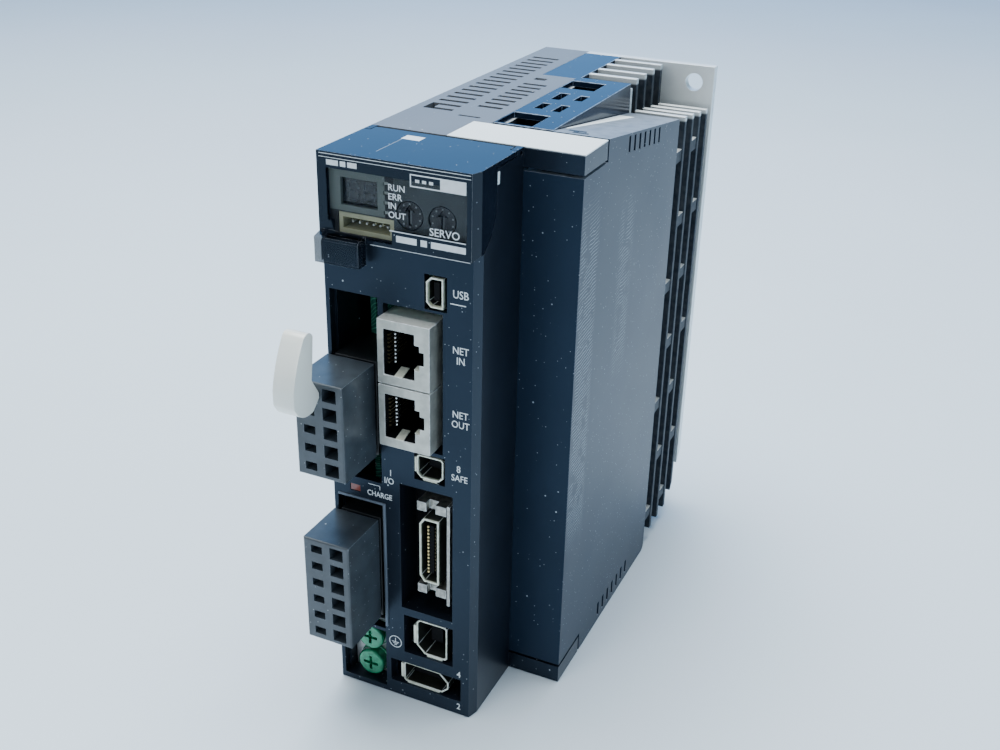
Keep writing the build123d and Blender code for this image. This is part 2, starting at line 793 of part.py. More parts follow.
post_sides = (23.4, 31.6)
post_notch = (26.0, 28.6)
post_along = (1.2, 3.2)
post_half = 1.3
post_offset = 2.9
with BuildPart() as io_latch_posts:
    for level in widened(io_span[1], post_offset):
        post_levels = widened((level, level), post_half)
        cuboid(post_sides, (post_along[0], io_floor), post_levels)
        cuboid(post_notch, post_along, post_levels, Mode.SUBTRACT)
save(io_latch_posts, "io_latch_posts")

bracket_sides = (32.2, 33.0)
bracket_front = 0.4
bracket_levels = (34.0, 64.0)
with BuildPart() as io_bracket:
    cuboid(bracket_sides, (bracket_front, io_floor), bracket_levels)
save(io_bracket, "io_bracket")


def header_span(base, poles):
    """Height span of a plug body with the given number of poles."""
    return (base, base + pole_pitch * poles + 2 * plug_end_margin)


def pole_levels(base, poles):
    """Heights of a plug's poles."""
    return [base + plug_end_margin + pole_pitch * (step + 0.5) for step in range(poles)]


plug_right = plug_left + plug_width
nose_sides = (plug_left + 2.6, plug_right - 1.0)
socket_sides = widened(nose_sides, socket_clearance)
socket_end_gap = 0.5
entry_sides = (7.8, 11.6)
entry_half = 1.7
entry_depth = 2.2
slot_half_height = 1.1
slot_floor = 8.0
pin_tip = 4.5
pin_tail = 7.0
bore_margin = 1.0
clamp_back = 6.0
clamp_half = 1.5
clamp_wall = 0.6
clamp_side_gap = 0.2
clamp_side_wall = 0.5
clamp_front_wall = 0.8
pin_left = power_board_face
top_pole = pole_levels(power_plug_base, power_poles)[-1]
tongue_slot = (top_pole - 1.8, top_pole + 1.7)
plugs = {
    "power": (power_plug_base, power_poles),
    "motor": (motor_plug_base, motor_poles),
}
for name, (base, poles) in plugs.items():
    body = header_span(base, poles)
    nose = widened(body, -nose_inset)
    socket = widened(nose, socket_clearance)
    levels = pole_levels(base, poles)
    with BuildPart() as header:
        header_along = (header_front, header_back)
        cuboid(widened(socket_sides, header_wall), header_along, widened(socket, header_wall))
        cuboid(socket_sides, (header_front, nose_depth + socket_end_gap), socket, Mode.SUBTRACT)
        for level in levels:
            pin_place = widened((level, level), pin_size / 2)
            pin_hole_along = (nose_depth, header_back)
            cuboid((pin_left, pin_left + pin_size), pin_hole_along, pin_place, Mode.SUBTRACT)
    save(header, f"{name}_header")
    with BuildPart() as pins:
        for level in levels:
            pin_place = widened((level, level), pin_size / 2)
            cuboid((pin_left, pin_left + pin_size), (pin_tip, header_back + pin_tail), pin_place)
    save(pins, f"{name}_pins")
    with BuildPart() as plug:
        cuboid((plug_left, plug_right), (-plug_reach, plug_back), body)
        front_edges = plug.edges().group_by(Axis.Y)[0]
        fillet(front_edges, radius=edge_round)
        cuboid(nose_sides, (plug_back, nose_depth), nose)
        for level in levels:
            opening = widened((level, level), entry_half)
            slot = widened((level, level), slot_half_height)
            if name == "power" and level == top_pole:
                slot = tongue_slot
            pin_bore = widened((pin_left, pin_left + pin_size), bore_margin)
            lever_slot = (slot_left, slot_left + slot_width)
            cuboid(entry_sides, (-plug_reach, -entry_depth), opening, Mode.SUBTRACT)
            cuboid(lever_slot, (-plug_reach, -slot_floor), slot, Mode.SUBTRACT)
            cuboid(pin_bore, (1.0, nose_depth), opening, Mode.SUBTRACT)
    save(plug, f"{name}_plug")
    with BuildPart() as clamps:
        for level in levels:
            frame_sides = widened(entry_sides, -clamp_side_gap)
            frame_levels = widened((level, level), clamp_half)
            hole_sides = widened(frame_sides, -clamp_side_wall)
            hole_levels = widened(frame_levels, -clamp_wall)
            hole_along = (-clamp_back, -entry_depth - clamp_front_wall)
            cuboid(frame_sides, (-clamp_back, -entry_depth), frame_levels)
            cuboid(hole_sides, hole_along, hole_levels, Mode.SUBTRACT)
    save(clamps, f"{name}_plug_clamps")

# Wiring lever: its tongue pivots in the power plug's top slot
tongue_left = slot_left + (slot_width - tongue_width) / 2
tongue_along = (-plug_reach - 0.6, -plug_reach + 4.1)
tongue_half = 0.6
with BuildPart() as wiring_lever:
    with BuildSketch(facing_right(tongue_left)):
        window(tongue_along, widened((top_pole, top_pole), tongue_half))
    extrude(amount=tongue_width)
    with BuildSketch(facing_right(lever_left)):
        with BuildLine():
            Polyline(
                (-plug_reach - 0.4, top_pole + 0.6),
                (-plug_reach - 3.1, top_pole + 5.0),
                (-plug_reach - 2.4, top_pole + 9.4),
                (-plug_reach - 1.7, top_pole + 15.5),
            )
            ThreePointArc(
                (-plug_reach - 1.7, top_pole + 15.5),
                (-plug_reach - 3.4, top_pole + 16.9),
                (-plug_reach - 5.4, top_pole + 16.3),
            )
            Spline(
                (-plug_reach - 5.4, top_pole + 16.3),
                (-plug_reach - 8.8, top_pole + 10.0),
                (-front_reach, top_pole + 4.4),
            )
            Line((-front_reach, top_pole + 4.4), (-front_reach, top_pole + 1.0))
            Spline(
                (-front_reach, top_pole + 1.0),
                (-plug_reach - 8.0, top_pole - 2.2),
                (-plug_reach - 3.0, top_pole - 3.0),
            )
            Line((-plug_reach - 3.0, top_pole - 3.0), (-plug_reach - 0.4, top_pole - 0.6))
            Line((-plug_reach - 0.4, top_pole - 0.6), (-plug_reach - 0.4, top_pole + 0.6))
        make_face()
    extrude(amount=lever_width)
save(wiring_lever, "wiring_lever")

# Earth plate, with a leg back to the heat sink, and its screws
earth_places = [(8.2, 6.0), (8.2, 14.8)]
earth_face = 5.0
earth_thickness = 1.5
earth_sides = (1.8, 13.5)
earth_levels = (case_wall, 19.5)
leg_thickness = 1.2
leg_levels = (6.0, 14.0)
leg_left = earth_sides[1] - leg_thickness
earth_back = facing_front(earth_face + earth_thickness)
with BuildPart() as earth_plate:
    cuboid(earth_sides, (earth_face, earth_face + earth_thickness), earth_levels)
    cuboid((leg_left, earth_sides[1]), (earth_face, base_front), leg_levels)
    cuboid((leg_left, base_right), (base_front - leg_thickness, base_front), leg_levels)
    rod(earth_back, earth_thickness, 2.0, earth_places, Mode.SUBTRACT)
save(earth_plate, "earth_plate")

head_height = 3.4
head_radius = 4.0
head_round = 0.8
shank_length = 6.0
shank_radius = 1.95
cross_half = 2.2
cross_width = 0.9
cross_depth = 1.6
with BuildPart() as earth_screws:
    rod(facing_front(earth_face), head_height, head_radius, earth_places)
    head_edges = earth_screws.edges().group_by(Axis.Y)[0]
    fillet(head_edges, radius=head_round)
    rod(facing_front(earth_face + shank_length), shank_length, shank_radius, earth_places)
    head_front = earth_face - head_height
    cross_along = (head_front, head_front + cross_depth)
    for column, level in earth_places:
        long_sides = widened((column, column), cross_half)
        thin_sides = widened((column, column), cross_width / 2)
        long_levels = widened((level, level), cross_half)
        thin_levels = widened((level, level), cross_width / 2)
        cuboid(long_sides, cross_along, thin_levels, Mode.SUBTRACT)
        cuboid(thin_sides, cross_along, long_levels, Mode.SUBTRACT)
save(earth_screws, "earth_screws")

charge_lamp_gap = 0.1
charge_lamp_along = (0.2, 4.0)
with BuildPart() as charge_lamp:
    lamp = widened_area(charge_window, -charge_lamp_gap)
    cuboid(lamp[0], charge_lamp_along, lamp[1])
save(charge_lamp, "charge_lamp")

# Power board with its parts, between the left wall and the heat sink
power_board_area = ((header_back, 92.0), (14.0, 142.0))
with BuildPart() as power_board:
    power_board_outer = facing_right(power_board_left)
    cuboid((power_board_left, power_board_face), power_board_area[0], power_board_area[1])
    rod(power_board_outer, board_thickness, screw_hole, board_corners, Mode.SUBTRACT)
save(power_board, "power_board")

capacitor_radius = (base_left - 1.5 - power_board_face) / 2
capacitor_column = power_board_face + capacitor_radius
capacitor_back = 84.0
capacitor_length = 40.0
capacitor_levels = (123.5, 139.6)
with BuildPart() as bus_capacitors:
    capacitor_places = [(capacitor_column, level) for level in capacitor_levels]
    rod(facing_front(capacitor_back), capacitor_length, capacitor_radius, capacitor_places)
save(bus_capacitors, "bus_capacitors")

pad_thickness = 0.3
pad_margin = 1.0
module_thickness = 5.7
module_right = base_left - pad_thickness
module_span = (module_right - module_thickness, module_right)
module_area = ((55.0, 91.0), (60.0, 110.0))
module_leads = (8, 72.0, 64.0, 5.8)
rectifier_area = ((62.0, 91.0), (22.0, 48.0))
rectifier_leads = (4, 76.0, 26.0, 6.0)
lead_size = 0.8


def leads(count, along, first, pitch):
    """Flat leads in a column from the power board to a device's near face."""
    for step in range(count):
        level = first + pitch * step
        lead_sides = (power_board_face, module_span[0])
        cuboid(lead_sides, (along, along + lead_size), (level, level + lead_size))


with BuildPart() as power_module:
    cuboid(module_span, module_area[0], module_area[1])
    leads(*module_leads)
save(power_module, "power_module")

with BuildPart() as rectifier:
    cuboid(module_span, rectifier_area[0], rectifier_area[1])
    leads(*rectifier_leads)
save(rectifier, "rectifier")

with BuildPart() as thermal_pads:
    for area in (module_area, rectifier_area):
        pad = widened_area(area, -pad_margin)
        cuboid((module_right, base_left), pad[0], pad[1])
save(thermal_pads, "thermal_pads")

relay_height = 8.5
relay_area = ((23.5, 36.5), (62.0, 82.0))
with BuildPart() as relay:
    relay_sides = (power_board_face, power_board_face + relay_height)
    cuboid(relay_sides, relay_area[0], relay_area[1])
save(relay, "relay")

core_height = 14.5
core_area = ((41.0, 53.0), (64.0, 84.0))
winding_height = 12.5
winding_area = ((39.5, 54.5), (67.5, 80.5))
with BuildPart() as transformer:
    core_sides = (power_board_face, power_board_face + core_height)
    winding_sides = (power_board_face, power_board_face + winding_height)
    cuboid(core_sides, core_area[0], core_area[1])
    cuboid(winding_sides, winding_area[0], winding_area[1])
save(transformer, "transformer")

spacer_radius = 2.5
spacer_thread = 6.0
with BuildPart() as board_spacers:
    spacer_length = control_board_left - power_board_face
    thread_start = facing_right(control_board_left - spacer_thread)
    rod(facing_right(power_board_face), spacer_length, spacer_radius, control_corners)
    rod(thread_start, spacer_thread, boss_bore, control_corners, Mode.SUBTRACT)
save(board_spacers, "board_spacers")

# Logic board on the side cover's bosses
logic_board_area = ((30.0, 92.0), (12.0, 131.0))
with BuildPart() as logic_board:
    logic_board_outer = facing_right(logic_board_left)
    cuboid((logic_board_left, logic_board_face), logic_board_area[0], logic_board_area[1])
    rod(logic_board_outer, board_thickness, screw_hole, logic_corners, Mode.SUBTRACT)
save(logic_board, "logic_board")

chip_height = 1.6
chips = ((58.0, 78.0, 16.0), (48.0, 50.0, 9.0), (72.0, 50.0, 9.0), (60.0, 105.0, 12.0))
with BuildPart() as logic_chips:
    chip_sides = (logic_board_left - chip_height, logic_board_left)
    for along, up, size in chips:
        cuboid(chip_sides, (along, along + size), (up, up + size))
save(logic_chips, "logic_chips")

screw_head = (2.6, 1.6)
small_head = (1.6, 1.2)
screw_radius = 1.2
small_screw_radius = 0.75
screw_reach = 3.5
control_reach = 4.0
with BuildPart() as board_screws:
    power_start = power_board_left - screw_head[1]
    power_length = screw_head[1] + board_thickness
    control_start = control_board_left - control_reach
    control_length = control_reach + control_board_thickness
    logic_start = logic_board_left - screw_head[1]
    rod(facing_right(power_board_face), screw_head[1], screw_head[0], board_corners)
    rod(facing_right(power_start), power_length, screw_radius, board_corners)
    rod(facing_right(board_face), screw_head[1], screw_head[0], control_corners)
    rod(facing_right(control_start), control_length, screw_radius, control_corners)
    rod(facing_right(logic_start), screw_head[1], screw_head[0], logic_corners)
    rod(logic_board_outer, board_thickness + screw_reach, screw_radius, logic_corners)
    head_back = facing_front(display_board_back + small_head[1])
    rod(head_back, small_head[1], small_head[0], display_posts)
    display_screw = board_thickness + screw_reach
    rod(facing_front(display_board_back), display_screw, small_screw_radius, display_posts)
save(board_screws, "board_screws")
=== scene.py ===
"""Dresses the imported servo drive: finishes, printed marks and the fine pieces on it."""

import logging
from dataclasses import dataclass, field, replace
from enum import Enum
from math import cos, pi, radians, sin, tau

import bmesh
import bpy
from mathutils import Matrix, Vector

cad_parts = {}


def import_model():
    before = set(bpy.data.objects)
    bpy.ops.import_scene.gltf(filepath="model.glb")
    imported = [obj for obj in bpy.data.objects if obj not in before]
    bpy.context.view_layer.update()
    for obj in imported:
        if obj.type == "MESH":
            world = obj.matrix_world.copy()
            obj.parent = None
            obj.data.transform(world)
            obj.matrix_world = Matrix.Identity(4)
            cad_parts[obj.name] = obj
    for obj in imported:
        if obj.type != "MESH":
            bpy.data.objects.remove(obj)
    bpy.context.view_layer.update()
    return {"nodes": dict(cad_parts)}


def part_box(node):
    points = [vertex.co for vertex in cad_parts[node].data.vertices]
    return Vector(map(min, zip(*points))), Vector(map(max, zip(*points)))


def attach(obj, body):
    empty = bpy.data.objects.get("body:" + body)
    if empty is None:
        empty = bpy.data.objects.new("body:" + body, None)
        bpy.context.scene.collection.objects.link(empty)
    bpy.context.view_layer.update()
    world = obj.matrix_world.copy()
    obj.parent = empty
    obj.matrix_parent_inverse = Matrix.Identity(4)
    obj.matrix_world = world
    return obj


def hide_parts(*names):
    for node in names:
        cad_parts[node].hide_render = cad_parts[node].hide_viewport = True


LOG = logging.getLogger("servo_drive")
MM = 0.001
Colour = tuple[float, float, float]
Place = tuple[float, float, float]
Span = tuple[float, float]
MADE: dict[str, bpy.types.Material] = {}
FORWARD = Matrix.Rotation(pi / 2, 4, "X")  # turns a flat mark or a round piece to look forward
WALL_TO_TOP = (0.4, 0.8)  # upward part of a face's normal, from a wall's to a level top's
SHARP_ANGLE = radians(35)  # between two faces of a sharp edge
ROUNDED_ANGLE = radians(28)  # between two faces whose edge is rounded
FLAT_ANGLE = radians(0.5)  # between two triangles of one flat face
SHAPE_ANGLE = radians(170)  # by which a joined face may differ from a rectangle
NODE_WELD = 2e-6  # metres between two corners of a node that are one
PIECE_WELD = 1e-7  # metres between two corners of a new piece that are one


class Body(Enum):
    """Rigid bodies that pieces ride on."""

    DRIVE = "drive"
    COVER = "display_cover"
    TENS = "tens_dial"
    ONES = "ones_dial"
    POWER_PLUG = "power_plug"
    MOTOR_PLUG = "motor_plug"
    LEVER = "wiring_lever"


class Number:
    """Shader number whose arithmetic adds Math nodes."""

    def __init__(self, tree: "Tree", socket: bpy.types.NodeSocket) -> None:
        """Wrap a socket of a material's tree."""
        self.tree = tree
        self.socket = socket

    def _math(self, operation: str, first: object, second: object) -> "Number":
        """Return a Math node's result for two operands."""
        node = self.tree.node("ShaderNodeMath", {"operation": operation}, {0: first, 1: second})
        return Number(self.tree, node.outputs[0])

    def __add__(self, other: "Number | float") -> "Number":
        """Add."""
        return self._math("ADD", self, other)

    __radd__ = __add__

    def __sub__(self, other: "Number | float") -> "Number":
        """Subtract."""
        return self._math("SUBTRACT", self, other)

    def __rsub__(self, other: float) -> "Number":
        """Subtract from a plain number."""
        return self._math("SUBTRACT", other, self)

    def __mul__(self, other: "Number | float") -> "Number":
        """Multiply."""
        return self._math("MULTIPLY", self, other)

    __rmul__ = __mul__

    def largest(self, other: "Number | float") -> "Number":
        """Return the larger of two."""
        return self._math("MAXIMUM", self, other)

    def fraction(self) -> "Number":
        """Return what is left after the whole number, which repeats from 0 to 1."""
        return self._math("FRACT", self, 0.0)

    def between(self, low: float, high: float) -> "Number":
        """Rise smoothly from 0 at low to 1 at high, or fall where low is larger."""
        node = self.tree.node(
            "ShaderNodeMapRange",
            {"interpolation_type": "SMOOTHSTEP"},
            {"Value": self, "From Min": min(low, high), "From Max": max(low, high)},
        )
        result = Number(self.tree, node.outputs["Result"])
        return result if low <= high else 1 - result


class Tree:
    """Node tree of one material, with a Principled shader at its end."""

    def __init__(self, name: str) -> None:
        """Start a material with an empty tree.

        Args:
            name: The material's name.
        """
        self.material = bpy.data.materials.new(name)
        self.material.use_nodes = True
        self.tree = self.material.node_tree
        self.tree.nodes.clear()
        self.shader = self.node("ShaderNodeBsdfPrincipled")
        output = self.node("ShaderNodeOutputMaterial")
        self.tree.links.new(self.shader.outputs["BSDF"], output.inputs["Surface"])
        self._object = None

    def node(
        self,
        kind: str,
        settings: dict[str, object] | None = None,
        values: dict[str | int, object] | None = None,
    ) -> bpy.types.Node:
        """Add a node.

        Args:
            kind: The node's type.
            settings: Its own properties, set first.
            values: What its input sockets get: numbers, colours or links.

        Returns:
            The new node.
        """
        node = self.tree.nodes.new(kind)
        for name, setting in (settings or {}).items():
            setattr(node, name, setting)
        for name, value in (values or {}).items():
            self.feed(node.inputs[name], value)
        return node

    def feed(self, socket: bpy.types.NodeSocket, value: object) -> None:
        """Give a socket a link or a constant."""
        if isinstance(value, Number):
            self.tree.links.new(value.socket, socket)
        elif isinstance(value, bpy.types.NodeSocket):
            self.tree.links.new(value, socket)
        else:
            socket.default_value = value

    def place(self, scale: Place = (1, 1, 1)) -> bpy.types.NodeSocket:
        """Return object coordinates in millimetres, times a factor on each axis."""
        if self._object is None:
            self._object = self.node("ShaderNodeTexCoord").outputs["Object"]
        factors = [factor / MM for factor in scale]
        stretched = self.node("ShaderNodeMapping", values={"Vector": self._object, "Scale": factors})
        return stretched.outputs[0]

    def axis(self, letter: str) -> Number:
        """Return one object coordinate in millimetres."""
        split = self.node("ShaderNodeSeparateXYZ", values={"Vector": self.place()})
        return Number(self, split.outputs[letter])

    def upward(self) -> Number:
        """Return how far a face looks up, from 0 on a wall to 1 on a level top."""
        geometry = self.node("ShaderNodeNewGeometry")
        split = self.node("ShaderNodeSeparateXYZ", values={"Vector": geometry.outputs["True Normal"]})
        return Number(self, split.outputs["Z"]).between(*WALL_TO_TOP)

    def inside(self, letter: str, low: float, high: float, soft: float = 0.05) -> Number:
        """Return 1 where a coordinate in millimetres lies between two values.

        Args:
            letter: The coordinate's axis.
            low: Where the band starts.
            high: Where the band ends.
            soft: Half the width of its soft edge.

        Returns:
            The band's mask.
        """
        place = self.axis(letter)
        return place.between(low - soft, low + soft) * place.between(high + soft, high - soft)

    def past(self, letter: str, edge: float, soft: float = 0.1) -> Number:
        """Return 1 where a coordinate in millimetres is more than an edge."""
        return self.axis(letter).between(edge - soft, edge + soft)

    def before(self, letter: str, edge: float, soft: float = 0.1) -> Number:
        """Return 1 where a coordinate in millimetres is less than an edge."""
        return self.axis(letter).between(edge + soft, edge - soft)

    def noise(self, size: float, detail: float = 3.0, where: bpy.types.NodeSocket | None = None) -> Number:
        """Return soft noise whose lumps are about size millimetres across."""
        values = {"Vector": where or self.place(), "Scale": 1 / size, "Detail": detail}
        return Number(self, self.node("ShaderNodeTexNoise", values=values).outputs[0])

    def cells(self, size: float) -> tuple[Number, Number]:
        """Return the distance to scattered points and a random number for each."""
        node = self.node("ShaderNodeTexVoronoi", values={"Vector": self.place(), "Scale": 1 / size})
        split = self.node("ShaderNodeSeparateColor", values={0: node.outputs["Color"]})
        return Number(self, node.outputs["Distance"]), Number(self, split.outputs[0])

    def mix(self, factor: Number, first: object, second: object) -> bpy.types.NodeSocket:
        """Return the colour between two, by a factor."""
        node = self.node("ShaderNodeMix", {"data_type": "RGBA"}, {0: factor, 6: first, 7: second})
        return node.outputs[2]

    def bump(self, height: Number, distance: float) -> bpy.types.NodeSocket:
        """Return a normal raised by a height of up to distance millimetres."""
        values = {"Height": height, "Distance": distance * MM, "Strength": 1.0}
        return self.node("ShaderNodeBump", values=values).outputs["Normal"]

    def set(self, **values: object) -> None:
        """Give the shader's sockets their values, named with underscores."""
        for name, value in values.items():
            self.feed(self.shader.inputs[name.replace("_", " ")], value)


def rgba(colour: Colour, factor: float = 1.0) -> tuple[float, float, float, float]:
    """Return a colour, brightened by a factor, with full alpha."""
    return tuple(min(1.0, part * factor) for part in colour) + (1.0,)


@dataclass(frozen=True)
class Specks:
    """Dust specks, one in some of the cells of one size."""

    cell: float
    edge: Span
    often: float
    bright: float

    def mask(self, tree: Tree, dust: float) -> Number:
        """Return the specks' mask for an amount of dust."""
        distance, chance = tree.cells(self.cell)
        return distance.between(*self.edge) * chance.between(1 - dust * self.often, 1 - dust * self.bright)


@dataclass(frozen=True)
class RubbedArea:
    """Stretch of the side wall with soft edges."""

    along: Span
    along_soft: float
    up: Span
    up_soft: float

    def mask(self, tree: Tree) -> Number:
        """Return 1 inside the stretch."""
        return tree.inside("Y", *self.along, self.along_soft) * tree.inside("Z", *self.up, self.up_soft)


@dataclass(frozen=True)
class Scuffs:
    """Fine scuffs on the side wall, long along Y and close together up the wall."""

    wander_size: float = 6.0
    wander: float = 1.9
    lines: float = 1.05
    lean: float = 0.10
    rise: Span = (0.0, 0.09)
    fall: Span = (0.26, 0.15)
    wall: Span = (27.2, 27.4)
    gap_size: float = 4.5
    gaps: Span = (0.34, 0.50)
    front: RubbedArea = RubbedArea((-28.6, -17.5), 1.5, (46.0, 133.0), 9.0)
    rear: RubbedArea = RubbedArea((-1.0, 8.5), 2.0, (84.0, 128.0), 8.0)
    rear_strength: float = 0.7

    def mask(self, tree: Tree) -> Number:
        """Return the scuffs' mask."""
        wander = tree.noise(self.wander_size, detail=2.0) * self.wander
        line = (tree.axis("Z") * self.lines - tree.axis("Y") * self.lean + wander).fraction()
        areas = self.front.mask(tree).largest(self.rear.mask(tree) * self.rear_strength)
        broken = tree.noise(self.gap_size, detail=2.0).between(*self.gaps)
        thin = line.between(*self.rise) * line.between(*self.fall)
        return thin * areas * tree.axis("X").between(*self.wall) * broken


@dataclass(frozen=True)
class Finish:
    """Moulded or coated surface with mottling, grain, dust and scratches."""

    name: str
    colour: Colour
    slot: str
    roughness: float = 0.5
    spread: float = 0.08
    metallic: float = 0.0
    coat: float = 0.0
    coat_roughness: float = 0.08
    mottle: float = 0.12
    mottle_size: float = 14.0
    mottle_edge: Span = (0.3, 0.7)
    grain_size: float = 0.35
    grain_depth: float = 0.02
    rough_patch: float = 0.6
    dust: float = 0.0
    dust_colour: Colour = (0.62, 0.66, 0.70)
    dust_roughness: float = 0.8
    specks: Specks = Specks(cell=3.6, edge=(0.085, 0.04), often=1.0, bright=0.6)
    fine_specks: Specks = Specks(cell=1.1, edge=(0.15, 0.07), often=0.7, bright=0.4)
    fine_strength: float = 0.7
    scratches: float = 0.0
    scuffs: Scuffs = Scuffs()
    level: float = 0.5
    # colour of the rounded edges, a painted highlight along them
    edge: Colour | None = None
    # tint of the reflections; the bluish tints paint the reflection of a blue surround
    sheen: Colour = (1.0, 1.0, 1.0)

    def edge_highlight(self) -> "Finish":
        """Return the finish of this surface's rounded edges, a lighter colour painted on them as a highlight.
        """
        return Finish(
            f"{self.name}_edge", self.edge, self.slot, roughness=0.3, mottle=0.45, mottle_size=1.6,
            grain_depth=0.0,
        )

    def colour_map(self, tree: Tree) -> bpy.types.NodeSocket:
        """Return the clean surface's colour with its slow mottling."""
        patches = tree.noise(self.mottle_size, detail=4.0).between(*self.mottle_edge)
        return tree.mix(patches, rgba(self.colour, 1 - self.mottle), rgba(self.colour, 1 + self.mottle))

    def varied(self, noise: Number) -> Number:
        """Return the roughness, spread by a noise."""
        return noise * (2 * self.spread) + (self.roughness - self.spread)

    def marks(self, tree: Tree) -> Number | None:
        """Return the mask of dust specks and scratches, or None where there are none."""
        mask = None
        if self.dust:
            fine = self.fine_specks.mask(tree, self.dust) * self.fine_strength
            mask = self.specks.mask(tree, self.dust).largest(fine)
        if self.scratches:
            strokes = self.scuffs.mask(tree) * self.scratches
            mask = strokes if mask is None else mask.largest(strokes)
        return mask

    def shade(self, tree: Tree) -> None:
        """Connect the shader for this finish."""
        colour = self.colour_map(tree)
        rough = self.varied(tree.noise(self.mottle_size * self.rough_patch))
        mask = self.marks(tree)
        if mask is not None:
            colour = tree.mix(mask, colour, rgba(self.dust_colour))
            rough = rough.largest(mask * self.dust_roughness)
        tree.set(Base_Color=colour, Roughness=rough, Metallic=self.metallic, Coat_Weight=self.coat)
        tree.set(Coat_Roughness=self.coat_roughness)
        tree.set(Specular_IOR_Level=self.level, Specular_Tint=rgba(self.sheen))
        if self.grain_depth > 0:
            tree.set(Normal=tree.bump(tree.noise(self.grain_size, detail=2.0), self.grain_depth))

    def material(self) -> bpy.types.Material:
        """Return this finish's material, made once."""
        if self.name not in MADE:
            tree = Tree(f"{self.name}_surface")
            self.shade(tree)
            MADE[self.name] = tree.material
        return MADE[self.name]


@dataclass(frozen=True)
class CastMetal(Finish):
    """Die-cast aluminium with a pebbled skin, oxide stains and painted shade on the walls between its fins.
    """

    stain: Colour = (0.40, 0.39, 0.36)
    stain_size: float = 4.0
    stain_edge: Span = (0.6, 0.85)
    stain_strength: float = 0.25
    # painted shade between the fins: its near-black colour, patch size and edges, how much it varies, and its
    # roughness
    wall_shade_colour: Colour = (0.012, 0.016, 0.024)
    wall_shade_size: float = 1.8
    wall_shade_edge: Span = (0.2, 0.9)
    wall_shade_spread: float = 0.04
    wall_shade_roughness: float = 0.62
    plate_front: float = 75.8
    short_top: float = 138.0
    short_slope: float = 0.12
    short_rim: Span = (1.6, 0.8)
    tall_top: float = 150.0
    tall_side: float = 12.6
    tall_rim: Span = (1.4, -1.0)
    rim_soft: float = 0.4
    rim_shine: float = 0.8

    def walls(self, tree: Tree) -> Number:
        """Return the mask of the painted shade on the fins' walls, below their bright tops."""
        fins = tree.before("Y", self.plate_front)
        tall = tree.before("X", self.tall_side)
        rims = tree.inside("Z", *(self.tall_top - depth for depth in self.tall_rim), self.rim_soft) * tall
        level = tree.axis("Z") + (tree.axis("Y") - self.plate_front) * self.short_slope
        low = level.between(*(self.short_top - depth for depth in self.short_rim)) * (1 - tall)
        return fins * (1 - tree.upward()) * (1 - rims.largest(low) * self.rim_shine)

    def shade(self, tree: Tree) -> None:
        """Connect bare metal with stains, and painted shade on the walls between bright fin tops."""
        # the fin walls get a slightly patchy near-black painted shade
        wall_shade_patches = tree.noise(self.wall_shade_size).between(*self.wall_shade_edge) * self.wall_shade_spread + (1 - self.wall_shade_spread)
        walls = self.walls(tree) * wall_shade_patches
        stains = tree.noise(self.stain_size, detail=6.0).between(*self.stain_edge) * self.stain_strength
        stained = tree.mix(stains, self.colour_map(tree), rgba(self.stain))
        rough = self.varied(tree.noise(self.stain_size)).largest(walls * self.wall_shade_roughness)
        tree.set(Base_Color=tree.mix(walls, stained, rgba(self.wall_shade_colour)), Roughness=rough)
        tree.set(Metallic=self.metallic * (1 - walls), Specular_IOR_Level=self.level)
        tree.set(Specular_Tint=rgba(self.sheen))
        tree.set(Normal=tree.bump(tree.noise(self.grain_size, detail=2.0), self.grain_depth))


@dataclass(frozen=True)
class PlatedMetal(Finish):
    """Stamped, plated sheet with a faint rolling direction."""

    drawn: Place = (3.5, 0.25, 3.5)
    tarnish_size: float = 2.2
    tarnish_edge: Span = (0.55, 0.8)
    tarnish_strength: float = 0.45
    tarnish_tone: float = 0.55

    def shade(self, tree: Tree) -> None:
        """Connect plating with drawn lines along the sheet."""
        lines = tree.noise(1.0, where=tree.place(self.drawn))
        tarnish = tree.noise(self.tarnish_size, detail=5.0).between(*self.tarnish_edge)
        dull = rgba(self.colour, self.tarnish_tone)
        stained = tree.mix(tarnish * self.tarnish_strength, self.colour_map(tree), dull)
        tree.set(Base_Color=stained, Roughness=self.varied(lines), Metallic=self.metallic)
        tree.set(Normal=tree.bump(lines, self.grain_depth))


@dataclass(frozen=True)
class Pane:
    """Rectangle of a face that looks forward, clear to see through."""

    across: Span
    up: Span
    soft: float = 0.03

    def mask(self, tree: Tree) -> Number:
        """Return 1 inside the rectangle."""
        return tree.inside("X", *self.across, self.soft) * tree.inside("Z", *self.up, self.soft)


